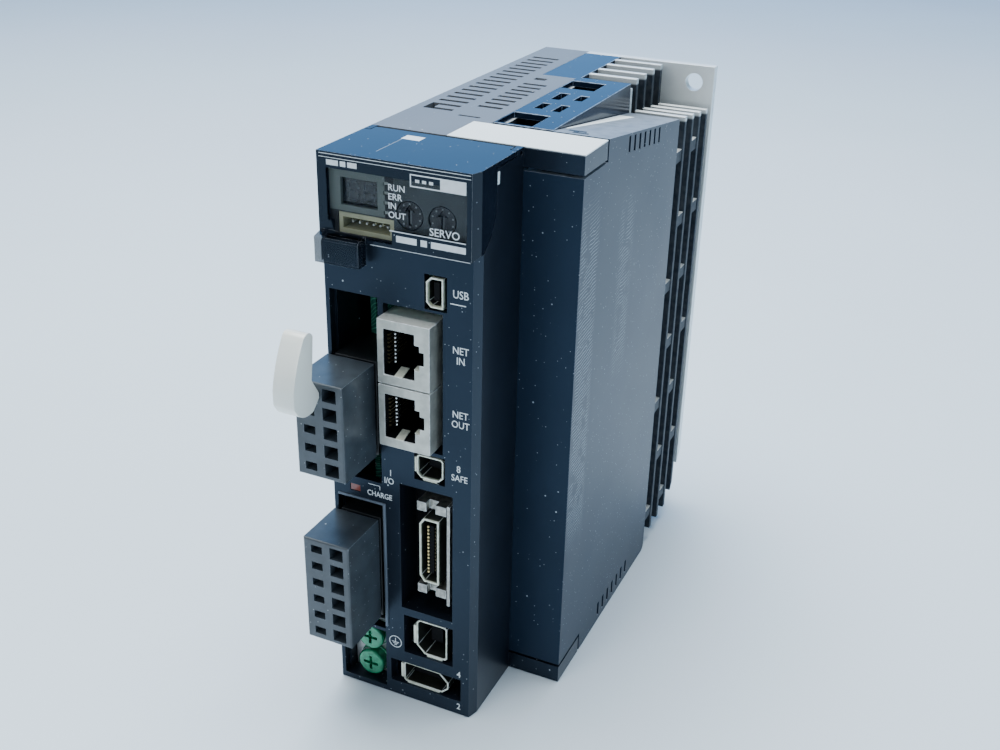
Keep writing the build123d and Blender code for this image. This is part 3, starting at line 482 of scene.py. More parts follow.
@dataclass(frozen=True)
class ClearLens(Finish):
    """Smoky plastic, polished: clear in its window and painted dark behind its border."""

    clear: float = 0.12
    smoke: float = 0.72
    border: float = 0.985
    front: float = -52.9
    tab_front: float = -54.4
    pane: Pane = Pane((-25.1, 10.3), (133.9, 146.3))
    slot_pane: Pane = Pane((-24.0, -8.4), (130.7, 136.6))
    rub_size: float = 7.0
    rub_edge: Span = (0.55, 0.8)
    rub_veil: float = 0.2
    rub_roughness: float = 0.05
    dust_veil: float = 0.8
    index: float = 1.5
    cap: Span = (149.7, 149.8)
    # pale colour of a painted glint on the small tab on the cap; the seam is painted with it too
    cap_glint: Colour = (0.86, 0.90, 0.93)
    cap_glint_across: Span = (-15.4, -10.6)
    cap_glint_along: Span = (-36.9, -33.6)
    seam: float = -15.0
    seam_half: float = 0.06
    seam_soft: float = 0.04
    seam_front: float = -49.0
    seam_strength: float = 0.5

    def opacity(self, tree: Tree, rub: Number, mask: Number) -> Number:
        """Return how much the plastic hides: little in its window, more in its tab."""
        panes = self.pane.mask(tree).largest(self.slot_pane.mask(tree))
        pane = panes * tree.before("Y", self.front)
        tab = tree.before("Y", self.tab_front)
        alpha = self.border - pane * (self.border - self.clear) - tab * (self.border - self.smoke)
        return alpha.largest(rub * self.rub_veil * tab).largest(mask * self.dust_veil)

    def pale_cap_marks(self, tree: Tree) -> Number:
        """Return the mask of the painted glint on the cap's small tab and of the fine seam, both painted
        pale.
        """
        pale_cap_marks = tree.inside("X", *self.cap_glint_across) * tree.inside("Y", *self.cap_glint_along)
        sides = (self.seam - self.seam_half, self.seam + self.seam_half)
        ends = (self.seam_front, self.cap_glint_along[0])
        seam = tree.inside("X", *sides, self.seam_soft) * tree.inside("Y", *ends) * self.seam_strength
        return pale_cap_marks.largest(seam) * tree.axis("Z").between(*self.cap)

    def shade(self, tree: Tree) -> None:
        """Connect thin smoky plastic that shows what lies behind its window."""
        mask = self.marks(tree)
        rub = tree.noise(self.rub_size, detail=5.0).between(*self.rub_edge)
        dust_and_lit_top = tree.mix(mask, self.colour_map(tree), rgba(self.dust_colour))
        rough = (rub * self.rub_roughness + self.roughness).largest(mask * self.dust_roughness)
        # the cap's painted glint and its seam are mixed in pale
        tree.set(Base_Color=tree.mix(self.pale_cap_marks(tree), dust_and_lit_top, rgba(self.cap_glint)), Roughness=rough)
        tree.set(Alpha=self.opacity(tree, rub, mask), IOR=self.index, Specular_IOR_Level=self.level)
        tree.set(Specular_Tint=rgba(self.sheen))


@dataclass(frozen=True)
class ShadedSheet(PlatedMetal):
    """Plated sheet, bright on its lit side and dull where it goes into the dark."""

    lit: Colour = (0.92, 0.92, 0.86)
    rim: float | None = None
    rim_depth: float = 0.35

    def colour_map(self, tree: Tree) -> bpy.types.NodeSocket:
        """Return the sheet's colour, bright on top or at its front rim."""
        base = super().colour_map(tree)
        if self.rim is None:
            return tree.mix(tree.upward(), base, rgba(self.lit))
        return tree.mix(tree.axis("Y").between(self.rim + self.rim_depth, self.rim), base, rgba(self.lit))


@dataclass(frozen=True)
class CircuitBoard(Finish):
    """Solder mask with copper traces under it and tinned pads."""

    trace: Colour = (0.10, 0.44, 0.30)
    trace_rise: Span = (0.30, 0.36)
    trace_fall: Span = (0.62, 0.56)
    traces_each: float = 0.9
    wander_size: float = 9.0
    wander: float = 14.0
    pad: Colour = (0.66, 0.64, 0.56)
    pad_cell: float = 2.4
    pad_edge: Span = (0.26, 0.2)
    pad_chance: Span = (0.5, 0.52)
    pad_polish: float = 0.15
    pad_metal: float = 0.8
    height: float = 0.04

    def shade(self, tree: Tree) -> None:
        """Connect solder mask, traces and pads."""
        wander = tree.noise(self.wander_size, detail=0.0) * self.wander
        lines = (wander + tree.axis("Z") * self.traces_each).fraction()
        traces = lines.between(*self.trace_rise) * lines.between(*self.trace_fall)
        distance, chance = tree.cells(self.pad_cell)
        pads = distance.between(*self.pad_edge) * chance.between(*self.pad_chance)
        masked = tree.mix(traces, rgba(self.colour), rgba(self.trace))
        tree.set(Base_Color=tree.mix(pads, masked, rgba(self.pad)), Metallic=pads * self.pad_metal)
        tree.set(Roughness=self.roughness - pads * self.pad_polish)
        tree.set(Normal=tree.bump(traces.largest(pads), self.height))


@dataclass(frozen=True)
class WindowPlate(Finish):
    """Bezel plate: pale pane at its left, darker pane at its right and a black lamp strip."""

    right_pane: Colour = (0.050, 0.062, 0.066)
    strip: Colour = (0.010, 0.012, 0.015)
    strip_sides: Span = (-10.8, -8.6)
    foot: float = 136.3
    soft: float = 0.05

    def colour_map(self, tree: Tree) -> bpy.types.NodeSocket:
        """Return the plate's panes."""
        right = tree.past("X", self.strip_sides[1], self.soft)
        panes = tree.mix(right, super().colour_map(tree), rgba(self.right_pane))
        dark = tree.inside("X", *self.strip_sides)
        below = tree.before("Z", self.foot, self.soft) * (1 - right)
        return tree.mix(dark.largest(below), panes, rgba(self.strip))


@dataclass(frozen=True)
class SlopedCover(Finish):
    """Side cover plastic whose upward face is painted paler in uneven patches, as painted light from above.
    """

    # pale colour painted on the upward face as light from above, and the patches that break it up
    dust_and_lit_top: Colour = (0.27, 0.31, 0.37)
    top_patch_size: float = 3.0
    top_patch_edge: Span = (0.25, 0.65)
    top_patch_thin: float = 0.35

    def colour_map(self, tree: Tree) -> bpy.types.NodeSocket:
        """Return the wall's colour, paler on the face that looks up."""
        patches = tree.noise(self.top_patch_size, detail=5.0).between(*self.top_patch_edge)
        top_patches = patches * self.top_patch_thin + (1 - self.top_patch_thin)
        # the upward face is mixed towards the pale colour: painted light
        return tree.mix(tree.upward() * top_patches, super().colour_map(tree), rgba(self.dust_and_lit_top))


class Finishes:
    """Every finish of the drive."""

    CAST = CastMetal(
        "cast_aluminium", (0.88, 0.90, 0.88), "cast_aluminium", roughness=0.42, metallic=0.45, spread=0.03,
        mottle=0.04, mottle_size=6.0, grain_size=0.7, grain_depth=0.04, level=0.34, sheen=(0.6, 0.8, 1.0),
    )
    CHARCOAL = Finish(
        "charcoal_plastic", (0.0070, 0.0095, 0.0150), "charcoal_case", roughness=0.30, spread=0.05, dust=0.44,
        grain_size=0.25, grain_depth=0.010, mottle=0.12, level=0.36, edge=(0.085, 0.115, 0.160),
        sheen=(0.40, 0.66, 1.0), dust_colour=(0.62, 0.68, 0.74),
    )
    GREY = Finish(
        "grey_plastic", (0.150, 0.156, 0.172), "grey_case", roughness=0.42, dust=0.2, mottle=0.03,
        spread=0.02, grain_size=0.25, grain_depth=0.014, edge=(0.40, 0.41, 0.43),
    )
    SLATE = SlopedCover(
        "slate_plastic", (0.0110, 0.0200, 0.0370), "slate_cover", roughness=0.34, spread=0.04, dust=0.40,
        scratches=0.60, grain_size=0.3, grain_depth=0.008, mottle=0.08, mottle_size=30.0, level=0.22,
        edge=(0.045, 0.065, 0.095), dust_colour=(0.50, 0.58, 0.66), sheen=(0.44, 0.70, 1.0),
    )
    GLOSS = Finish(
        "gloss_plate", (0.008, 0.016, 0.034), "gloss_plate", roughness=0.14, spread=0.04, dust=0.24,
        grain_depth=0.0, level=0.15, edge=(0.20, 0.27, 0.38), sheen=(0.34, 0.60, 1.0),
    )
    LABEL = Finish(
        "white_strip", (0.90, 0.97, 0.99), "white_label", roughness=0.5, mottle=0.02, grain_size=0.15,
        grain_depth=0.003,
    )
    LENS = ClearLens(
        "smoky_lens", (0.007, 0.010, 0.017), "smoky_lens", roughness=0.07, dust=0.20,
        dust_colour=(0.72, 0.78, 0.84), edge=(0.80, 0.88, 0.95), sheen=(0.55, 0.78, 1.0), smoke=0.62,
        level=0.22, dust_roughness=0.6,
    )
    BEZEL = WindowPlate(
        "grey_green_bezel", (0.125, 0.150, 0.138), "grey_bezel", roughness=0.6, mottle=0.06,
        mottle_size=5.0,
    )
    DIGITS = Finish(
        "digit_window", (0.012, 0.015, 0.018), "display_black", roughness=0.2, coat=0.3, grain_depth=0.0,
    )
    SEGMENT = Finish("unlit_segment", (0.060, 0.070, 0.075), "display_black", roughness=0.35, grain_depth=0.0)
    LAMP = Finish("lamp_resin", (0.30, 0.33, 0.30), "lamp_clear", roughness=0.2, coat=0.4, grain_depth=0.0)
    BLACK = Finish("black_nylon", (0.010, 0.012, 0.014), "black_plastic", roughness=0.42, grain_size=0.2)
    DIAL = Finish("dial_nylon", (0.013, 0.015, 0.018), "black_plastic", roughness=0.35, grain_size=0.2)
    CREAM = Finish(
        "cream_nylon", (0.46, 0.44, 0.27), "cream_plastic", roughness=0.45, mottle=0.08, mottle_size=3.0,
        grain_size=0.2, edge=(0.60, 0.59, 0.42),
    )
    LEVER = Finish(
        "white_nylon", (0.93, 0.93, 0.85), "white_lever", roughness=0.32, coat=0.4, mottle=0.03,
        grain_size=0.3, grain_depth=0.006,
    )
    NICKEL = ShadedSheet(
        "nickel_sheet", (0.50, 0.50, 0.45), "nickel", roughness=0.36, metallic=0.5, mottle=0.16,
        mottle_size=4.0, grain_depth=0.008, edge=(0.95, 0.95, 0.90),
    )
    POST = PlatedMetal(
        "post_steel", (0.34, 0.33, 0.30), "steel", roughness=0.30, metallic=0.8, mottle=0.3,
        mottle_size=1.2, grain_depth=0.01, edge=(0.92, 0.92, 0.86),
    )
    PORT = ShadedSheet(
        "port_sheet", (0.030, 0.032, 0.026), "nickel", roughness=0.40, metallic=0.35, mottle=0.2,
        mottle_size=2.0, grain_depth=0.006, edge=(0.90, 0.92, 0.70), lit=(0.86, 0.88, 0.66), rim=-52.35,
    )
    SHADE = Finish(
        "socket_black", (0.004, 0.004, 0.005), "black_plastic", roughness=0.7, level=0.12, grain_depth=0.0,
    )
    # dark colour painted on contacts deep in the sockets, as shade
    SHADED_CONTACT = Finish("shaded_contact", (0.10, 0.075, 0.035), "gold", roughness=0.4, metallic=0.6)
    STEEL = PlatedMetal(
        "zinc_steel", (0.60, 0.60, 0.59), "steel", roughness=0.36, metallic=0.8, grain_depth=0.01,
    )
    TIN = PlatedMetal(
        "tinned_pin", (0.72, 0.72, 0.70), "tinned", roughness=0.3, metallic=0.8, grain_depth=0.005,
    )
    GOLD = PlatedMetal(
        "gold_contact", (0.86, 0.66, 0.30), "gold", roughness=0.28, metallic=0.8, grain_depth=0.004,
    )
    PALE_METAL = PlatedMetal(
        "spring_metal", (0.86, 0.86, 0.70), "nickel", roughness=0.34, metallic=0.35, mottle=0.08,
        grain_depth=0.004,
    )
    BOARD = CircuitBoard("green_board", (0.020, 0.165, 0.110), "green_board", roughness=0.42)
    PLUG = Finish(
        "plug_nylon", (0.050, 0.062, 0.074), "plug_grey", roughness=0.32, dust=0.30, grain_size=0.2,
        grain_depth=0.012, edge=(0.24, 0.28, 0.33), mottle=0.2, mottle_size=5.0,
    )
    EARTH = Finish(
        "green_plating", (0.003, 0.250, 0.110), "green_screw", roughness=0.18, metallic=0.30, coat=0.8,
        mottle=0.25, mottle_size=1.6, grain_depth=0.0, edge=(0.05, 0.60, 0.33),
    )
    SLEEVE = Finish("capacitor_sleeve", (0.020, 0.022, 0.035), "capacitor_sleeve", roughness=0.3, coat=0.3)
    PAD = Finish("thermal_pad", (0.36, 0.38, 0.42), "thermal_grey", roughness=0.8)
    CHARGE = Finish(
        "charge_lens", (0.22, 0.03, 0.015), "charge_red", roughness=0.2, coat=0.6, grain_depth=0.0,
    )
    TAPE = Finish("core_tape", (0.42, 0.33, 0.06), "transformer_yellow", roughness=0.4)
    INK = Finish("white_ink", (0.78, 0.81, 0.83), "white_label", roughness=0.55, mottle=0.06, mottle_size=1.5)
    GREY_INK = replace(INK, name="grey_ink", colour=(0.20, 0.22, 0.23))
    # lighter colour of the bead and rail: a painted highlight along them
    BEAD_HIGHLIGHT = replace(CHARCOAL, name="bead_highlight", colour=(0.13, 0.15, 0.18))
    PAPER = Finish(
        "floor_paper", (0.78, 0.87, 0.94), "white_label", roughness=0.75, mottle=0.02, mottle_size=300.0,
    )


NODE_FINISHES = {
    node: finish
    for finish, nodes in (
        (Finishes.CAST, "heat_sink"),
        (Finishes.CHARCOAL, "front_case"),
        (Finishes.GREY, "body_shell"),
        (Finishes.SLATE, "side_cover"),
        (Finishes.GLOSS, "top_vent_plate"),
        (Finishes.LABEL, "top_label"),
        (Finishes.LENS, "display_cover"),
        (Finishes.BEZEL, "display_bezel"),
        (Finishes.DIGITS, "seven_segment_display"),
        (Finishes.LAMP, "status_lamps"),
        (Finishes.DIAL, "tens_dial ones_dial"),
        (Finishes.CREAM, "monitor_connector"),
        (Finishes.NICKEL, "ethernet_jack_in ethernet_jack_out"),
        (Finishes.PORT, "usb_shell safety_port_shell scale_port_shell encoder_port_shell"),
        (Finishes.PORT, "io_connector_shell"),
        (Finishes.SHADE, "usb_tongue jack_insert_in jack_insert_out safety_port_insert"),
        (Finishes.SHADE, "scale_port_insert encoder_port_insert io_connector_insert"),
        (Finishes.SHADED_CONTACT, "jack_contacts io_connector_contacts"),
        (Finishes.POST, "io_latch_posts io_bracket"),
        (Finishes.TIN, "power_pins motor_pins"),
        (Finishes.PLUG, "power_plug motor_plug relay"),
        (Finishes.LEVER, "wiring_lever"),
        (Finishes.EARTH, "earth_screws"),
        (Finishes.CHARGE, "charge_lamp"),
        (Finishes.BOARD, "display_board control_board power_board logic_board"),
        (Finishes.BLACK, "tens_rotary_switch ones_rotary_switch power_header motor_header"),
        (Finishes.BLACK, "power_module rectifier logic_chips"),
        (Finishes.SLEEVE, "bus_capacitors"),
        (Finishes.PAD, "thermal_pads"),
        (Finishes.TAPE, "transformer"),
        (Finishes.STEEL, "power_plug_clamps motor_plug_clamps earth_plate board_spacers"),
        (Finishes.STEEL, "board_screws"),
    )
    for node in nodes.split()
}


@dataclass(frozen=True)
class Layout:
    """Places given in millimetres from the left side, from the front panel and up."""

    left: float
    front: float

    @classmethod
    def from_case(cls) -> "Layout":
        """Read the layout's corner from the front case."""
        low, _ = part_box("front_case")
        return cls(low.x, low.y)

    def at(self, across: float, along: float, up: float) -> Vector:
        """Return a place in the frame, in metres."""
        return Vector((self.left + across * MM, self.front + along * MM, up * MM))

    def corners(self, node: str) -> tuple[Place, Place]:
        """Return a node's low and high corners in this layout's millimetres."""
        low, high = (
            ((end.x - self.left) / MM, (end.y - self.front) / MM, end.z / MM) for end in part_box(node)
        )
        return low, high


class Shape:
    """Mesh under construction, in millimetres of a layout."""

    def __init__(self, layout: Layout) -> None:
        """Start an empty mesh."""
        self.layout = layout
        self.mesh = bmesh.new()

    def block(self, low: Place, high: Place, round_off: float = 0.0, segments: int = 2) -> "Shape":
        """Add a box between two corners, with its edges rounded.

        Args:
            low: Its corner nearest the left, the front and the base.
            high: Its opposite corner.
            round_off: Radius of its edges.
            segments: Facets of each rounded edge.

        Returns:
            This shape.
        """
        first, last = self.layout.at(*low), self.layout.at(*high)
        size = last - first
        place = Matrix.Translation((first + last) / 2) @ Matrix.Diagonal((*size, 1))
        made = bmesh.ops.create_cube(self.mesh, size=1.0, matrix=place)
        if round_off:
            edges = list({edge for vert in made["verts"] for edge in vert.link_edges})
            bmesh.ops.bevel(
                self.mesh, geom=edges, offset=round_off * MM, affect="EDGES", segments=segments,
                profile=0.5, material=-1,
            )
        return self

    def tongue(self, low: Place, high: Place, lift: float) -> "Shape":
        """Add a sprung strip that rises towards its rear end.

        Args:
            low: Its corner nearest the left, the front and the base.
            high: Its opposite corner, before it rises.
            lift: How far its rear end rises in millimetres.

        Returns:
            This shape.
        """
        before = set(self.mesh.verts)
        self.block(low, high)
        middle = (self.layout.at(*low).y + self.layout.at(*high).y) / 2
        raised = [vert for vert in self.mesh.verts if vert not in before and vert.co.y > middle]
        bmesh.ops.translate(self.mesh, vec=(0, 0, lift * MM), verts=raised)
        return self

    def lathe(self, profile: list[Span], centre: Place, steps: int = 40) -> "Shape":
        """Spin an open profile into a closed round piece that looks forward.

        Args:
            profile: Radius and height of each point, from the axis and back to it.
            centre: Where the axis starts.
            steps: Facets round the piece.

        Returns:
            This shape.
        """
        turn = Matrix.Translation(self.layout.at(*centre)) @ FORWARD
        verts = [self.mesh.verts.new((radius * MM, 0, height * MM)) for radius, height in profile]
        edges = [self.mesh.edges.new(pair) for pair in zip(verts, verts[1:])]
        made = bmesh.ops.spin(
            self.mesh, geom=verts + edges, cent=(0, 0, 0), axis=(0, 0, 1), angle=tau, steps=steps,
            use_merge=True, use_duplicate=False,
        )
        new = set(verts) | {item for item in made["geom_last"] if isinstance(item, bmesh.types.BMVert)}
        reach = set(new)
        while new:
            new = {edge.other_vert(vert) for vert in new for edge in vert.link_edges} - reach
            reach |= new
        bmesh.ops.transform(self.mesh, matrix=turn, verts=list(reach))
        return self

    def disc(self, radius: float, thickness: float, centre: Place, steps: int) -> "Shape":
        """Add a flat round plate that stands forward from a place."""
        profile = [(0, 0), (radius, 0), (radius, thickness), (0, thickness)]
        return self.lathe(profile, centre, steps)

    def rod(self, start: Place, end: Place, radius: float, steps: int) -> "Shape":
        """Add a round rod between two places."""
        first, last = self.layout.at(*start), self.layout.at(*end)
        along = last - first
        place = Matrix.Translation((first + last) / 2) @ along.to_track_quat("Z", "Y").to_matrix().to_4x4()
        bmesh.ops.create_cone(
            self.mesh, cap_ends=True, segments=steps, radius1=radius * MM, radius2=radius * MM,
            depth=along.length, matrix=place,
        )
        return self

    def piece(self, name: str, body: Body, finish: Finish) -> bpy.types.Object:
        """Turn the mesh into a piece that rides on a body.

        Args:
            name: The piece's name.
            body: The body it moves with.
            finish: Its surface.

        Returns:
            The new object.
        """
        bmesh.ops.remove_doubles(self.mesh, verts=self.mesh.verts, dist=PIECE_WELD)
        bmesh.ops.recalc_face_normals(self.mesh, faces=self.mesh.faces)
        for face in self.mesh.faces:
            face.smooth = True
        for edge in self.mesh.edges:
            edge.smooth = len(edge.link_faces) == 2 and edge.calc_face_angle(0) < SHARP_ANGLE
        data = bpy.data.meshes.new(name)
        self.mesh.to_mesh(data)
        self.mesh.free()
        data.materials.append(finish.material())
        made = bpy.data.objects.new(name, data)
        bpy.context.scene.collection.objects.link(made)
        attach(made, body.value)
        LOG.info("piece %s on %s: %d faces", name, body.value, len(data.polygons))
        return made


def softened(
    node: str, body: Body, finish: Finish, width: float, segments: int = 2, curved: bool = False,
) -> bpy.types.Object:
    """Replace a node by its own shape with rounded edges.

    Args:
        node: The node's name.
        body: The body it belongs to.
        finish: Its surface.
        width: Radius of the rounded edges in millimetres.
        segments: Facets of each rounded edge.
        curved: Whether its faces are shaded together.

    Returns:
        The new object.
    """
    source = bpy.data.objects[node]
    mesh = bmesh.new()
    mesh.from_mesh(source.data)
    bmesh.ops.remove_doubles(mesh, verts=mesh.verts, dist=NODE_WELD)
    bmesh.ops.join_triangles(
        mesh, faces=mesh.faces, angle_face_threshold=FLAT_ANGLE, angle_shape_threshold=SHAPE_ANGLE,
    )
    for face in mesh.faces:
        face.smooth = curved
    name = f"{node}_rounded"
    data = bpy.data.meshes.new(name)
    mesh.to_mesh(data)
    mesh.free()
    data.materials.clear()
    data.materials.append(finish.material())
    made = bpy.data.objects.new(name, data)
    bpy.context.scene.collection.objects.link(made)
    rounding = made.modifiers.new("rounding", "BEVEL")
    rounding.width = width * MM
    rounding.segments = segments
    rounding.limit_method = "ANGLE"
    rounding.angle_limit = ROUNDED_ANGLE
    rounding.harden_normals = curved
    rounding.use_clamp_overlap = True
    # the rounded edges get the lighter edge colour, a painted highlight
    if finish.edge is not None:
        data.materials.append(finish.edge_highlight().material())
        rounding.material = 1
    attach(made, body.value)
    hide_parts(node)
    LOG.info("rounded %s", node)
    return made


class InkSheet:
    """Printed marks that share one body and one ink."""

    thickness = 0.03
    boldness = 0.011
    capital = 0.69
    letter_steps = 3
    ring_steps = 32

    def __init__(self, name: str, layout: Layout, body: Body, ink: Finish) -> None:
        """Start an empty sheet of marks."""
        self.name = name
        self.body = body
        self.ink = ink
        self.shape = Shape(layout)

    def words(self, text: str, height: float, at: Place, squeeze: float = 1.0) -> None:
        """Print words whose lower left corner is at a place.

        Args:
            text: What is printed.
            height: Height of a capital in millimetres.
            at: The lower left corner.
            squeeze: Factor on the width.
        """
        curve = bpy.data.curves.new("words", "FONT")
        curve.body = text
        curve.size = height * MM / self.capital
        curve.extrude = self.thickness * MM / 2
        curve.resolution_u = self.letter_steps
        curve.offset = height * self.boldness * MM
        holder = bpy.data.objects.new("words", curve)
        bpy.context.scene.collection.objects.link(holder)
        bpy.context.view_layer.update()
        drawn = bpy.data.meshes.new_from_object(holder.evaluated_get(bpy.context.evaluated_depsgraph_get()))
        bpy.data.objects.remove(holder)
        across, along, up = at
        place = Matrix.Translation(self.shape.layout.at(across, along - self.thickness / 2, up))
        drawn.transform(place @ FORWARD @ Matrix.Diagonal((squeeze, 1, 1, 1)))
        self.shape.mesh.from_mesh(drawn)
        bpy.data.meshes.remove(drawn)

    def strip(self, across: Span, up: Span, along: float) -> None:
        """Print a filled rectangle on a face that looks forward."""
        self.shape.block((across[0], along - self.thickness, up[0]), (across[1], along, up[1]))

    def bars(self, bars: tuple[Span, ...], up: Span, along: float) -> None:
        """Print a row of filled bars, each from its start and width."""
        for start, width in bars:
            self.strip((start, start + width), up, along)

    def frame(self, across: Span, up: Span, along: float, line: float) -> None:
        """Print the outline of a rectangle."""
        self.strip(across, (up[0], up[0] + line), along)
        self.strip(across, (up[1] - line, up[1]), along)
        self.strip((across[0], across[0] + line), (up[0] + line, up[1] - line), along)
        self.strip((across[1] - line, across[1]), (up[0] + line, up[1] - line), along)

    def ring(self, centre: Place, radius: float, line: float) -> None:
        """Print a ring on a face that looks forward."""
        outer, inner, deep = radius, radius - line, self.thickness
        profile = [(inner, 0), (outer, 0), (outer, deep), (inner, deep), (inner, 0)]
        self.shape.lathe(profile, centre, self.ring_steps)

    def piece(self) -> bpy.types.Object:
        """Return the marks as one piece."""
        return self.shape.piece(self.name, self.body, self.ink)


@dataclass
class Casing:
    """Front case, body shell, side cover, vent plate, strip and heat sink."""

    layout: Layout
    rounding: dict[str, float] = field(default_factory=lambda: {
        "front_case": 0.35, "body_shell": 0.25, "side_cover": 0.4, "top_vent_plate": 0.18,
        "heat_sink": 0.3, "top_label": 0.08,
    })
    slope: float = 0.1425
    slope_front: float = 39.3
    sliver_across: Span = (40.8, 45.0)
    sliver_along: Span = (47.0, 87.0)
    sliver_depth: float = 0.5
    sliver_taper: float = 3.6
    proud: float = 0.1
    notches: tuple[tuple[Span, Span], ...] = (
        ((44.6, 48.6), (41.6, 42.5)), ((42.6, 47.0), (44.4, 45.3)), ((44.4, 45.3), (42.5, 44.4)),
    )
    notch_depth: float = 0.4
    bead_front: float = -0.45
    bead_back: float = 0.4
    bead_up: Span = (22.0, 60.4)
    bead_across: Span = (14.35, 15.15)
    bead_round: float = 0.22
    rail_front: float = -0.3
    rail_foot: float = 59.7
    rail_across: Span = (1.2, 14.6)
    rail_round: float = 0.2
    patches: tuple[tuple[Span, Span], ...] = (((23.5, 27.5), (31.0, 33.0)), ((33.5, 27.8), (38.0, 31.0)))
    patch_depth: float = 0.2
    patch_round: float = 0.02
    patch_sunk: float = 0.004

    def build(self) -> None:
        """Round the casing's edges and add its small trim."""
        for node, width in self.rounding.items():
            softened(node, Body.DRIVE, NODE_FINISHES[node], width)
        self.build_strip_marks()
        self.build_sliver()
        self.build_notches()
        self.build_bead()

    def slope_level(self, along: float) -> float:
        """Return the height of the side cover's sloping top at a distance behind the front."""
        _, high = self.layout.corners("side_cover")
        return high[2] - (along - self.slope_front) * self.slope

    def build_sliver(self) -> None:
        """Add the pale tapering sliver on the side cover's sloping top."""
        left, right = self.sliver_across
        front, rear = self.sliver_along
        level = self.slope_level(front)
        drop = self.slope_level(rear) - level
        shape = Shape(self.layout)
        shape.block((left, front, level - self.sliver_depth), (right, rear, level + self.proud))
        middle = self.layout.at((left + right) / 2, (front + rear) / 2, level)
        back = [vert for vert in shape.mesh.verts if vert.co.y > middle.y]
        bmesh.ops.translate(shape.mesh, vec=(0, 0, drop * MM), verts=back)
        tip = [vert for vert in shape.mesh.verts if vert not in back and vert.co.x > middle.x]
        bmesh.ops.translate(shape.mesh, vec=(-self.sliver_taper * MM, 0, 0), verts=tip)
        shape.piece("slope_sliver", Body.DRIVE, Finishes.LABEL)

    def build_notches(self) -> None:
        """Add the two joined dark notches on the side cover's sloping top."""
        shape = Shape(self.layout)
        for across, along in self.notches:
            top = self.slope_level(sum(along) / 2)
            low = (across[0], along[0], top - self.notch_depth)
            shape.block(low, (across[1], along[1], top + self.proud))
        shape.piece("slope_notches", Body.DRIVE, Finishes.BLACK)

    def build_bead(self) -> None:
        """Add the raised bead along the recess of the motor plug and the rail over it, lighter as a painted
        highlight.
        """
        left, right = self.bead_across
        foot, top = self.bead_up
        shape = Shape(self.layout)
        shape.block((left, self.bead_front, foot), (right, self.bead_back, top), self.bead_round, 3)
        left, right = self.rail_across
        low = (left, self.rail_front, self.rail_foot)
        shape.block(low, (right, self.bead_back, top), self.rail_round)
        shape.piece("recess_bead", Body.DRIVE, Finishes.BEAD_HIGHLIGHT)

    def build_strip_marks(self) -> None:
        """Raise two faint plain areas on the strip."""
        _, high = self.layout.corners("top_label")
        foot, top = high[2] - self.patch_depth, high[2] - self.patch_sunk
        shape = Shape(self.layout)
        for low, far in self.patches:
            shape.block((*low, foot), (*far, top), self.patch_round, 1)
        shape.piece("strip_patches", Body.DRIVE, Finishes.LABEL)


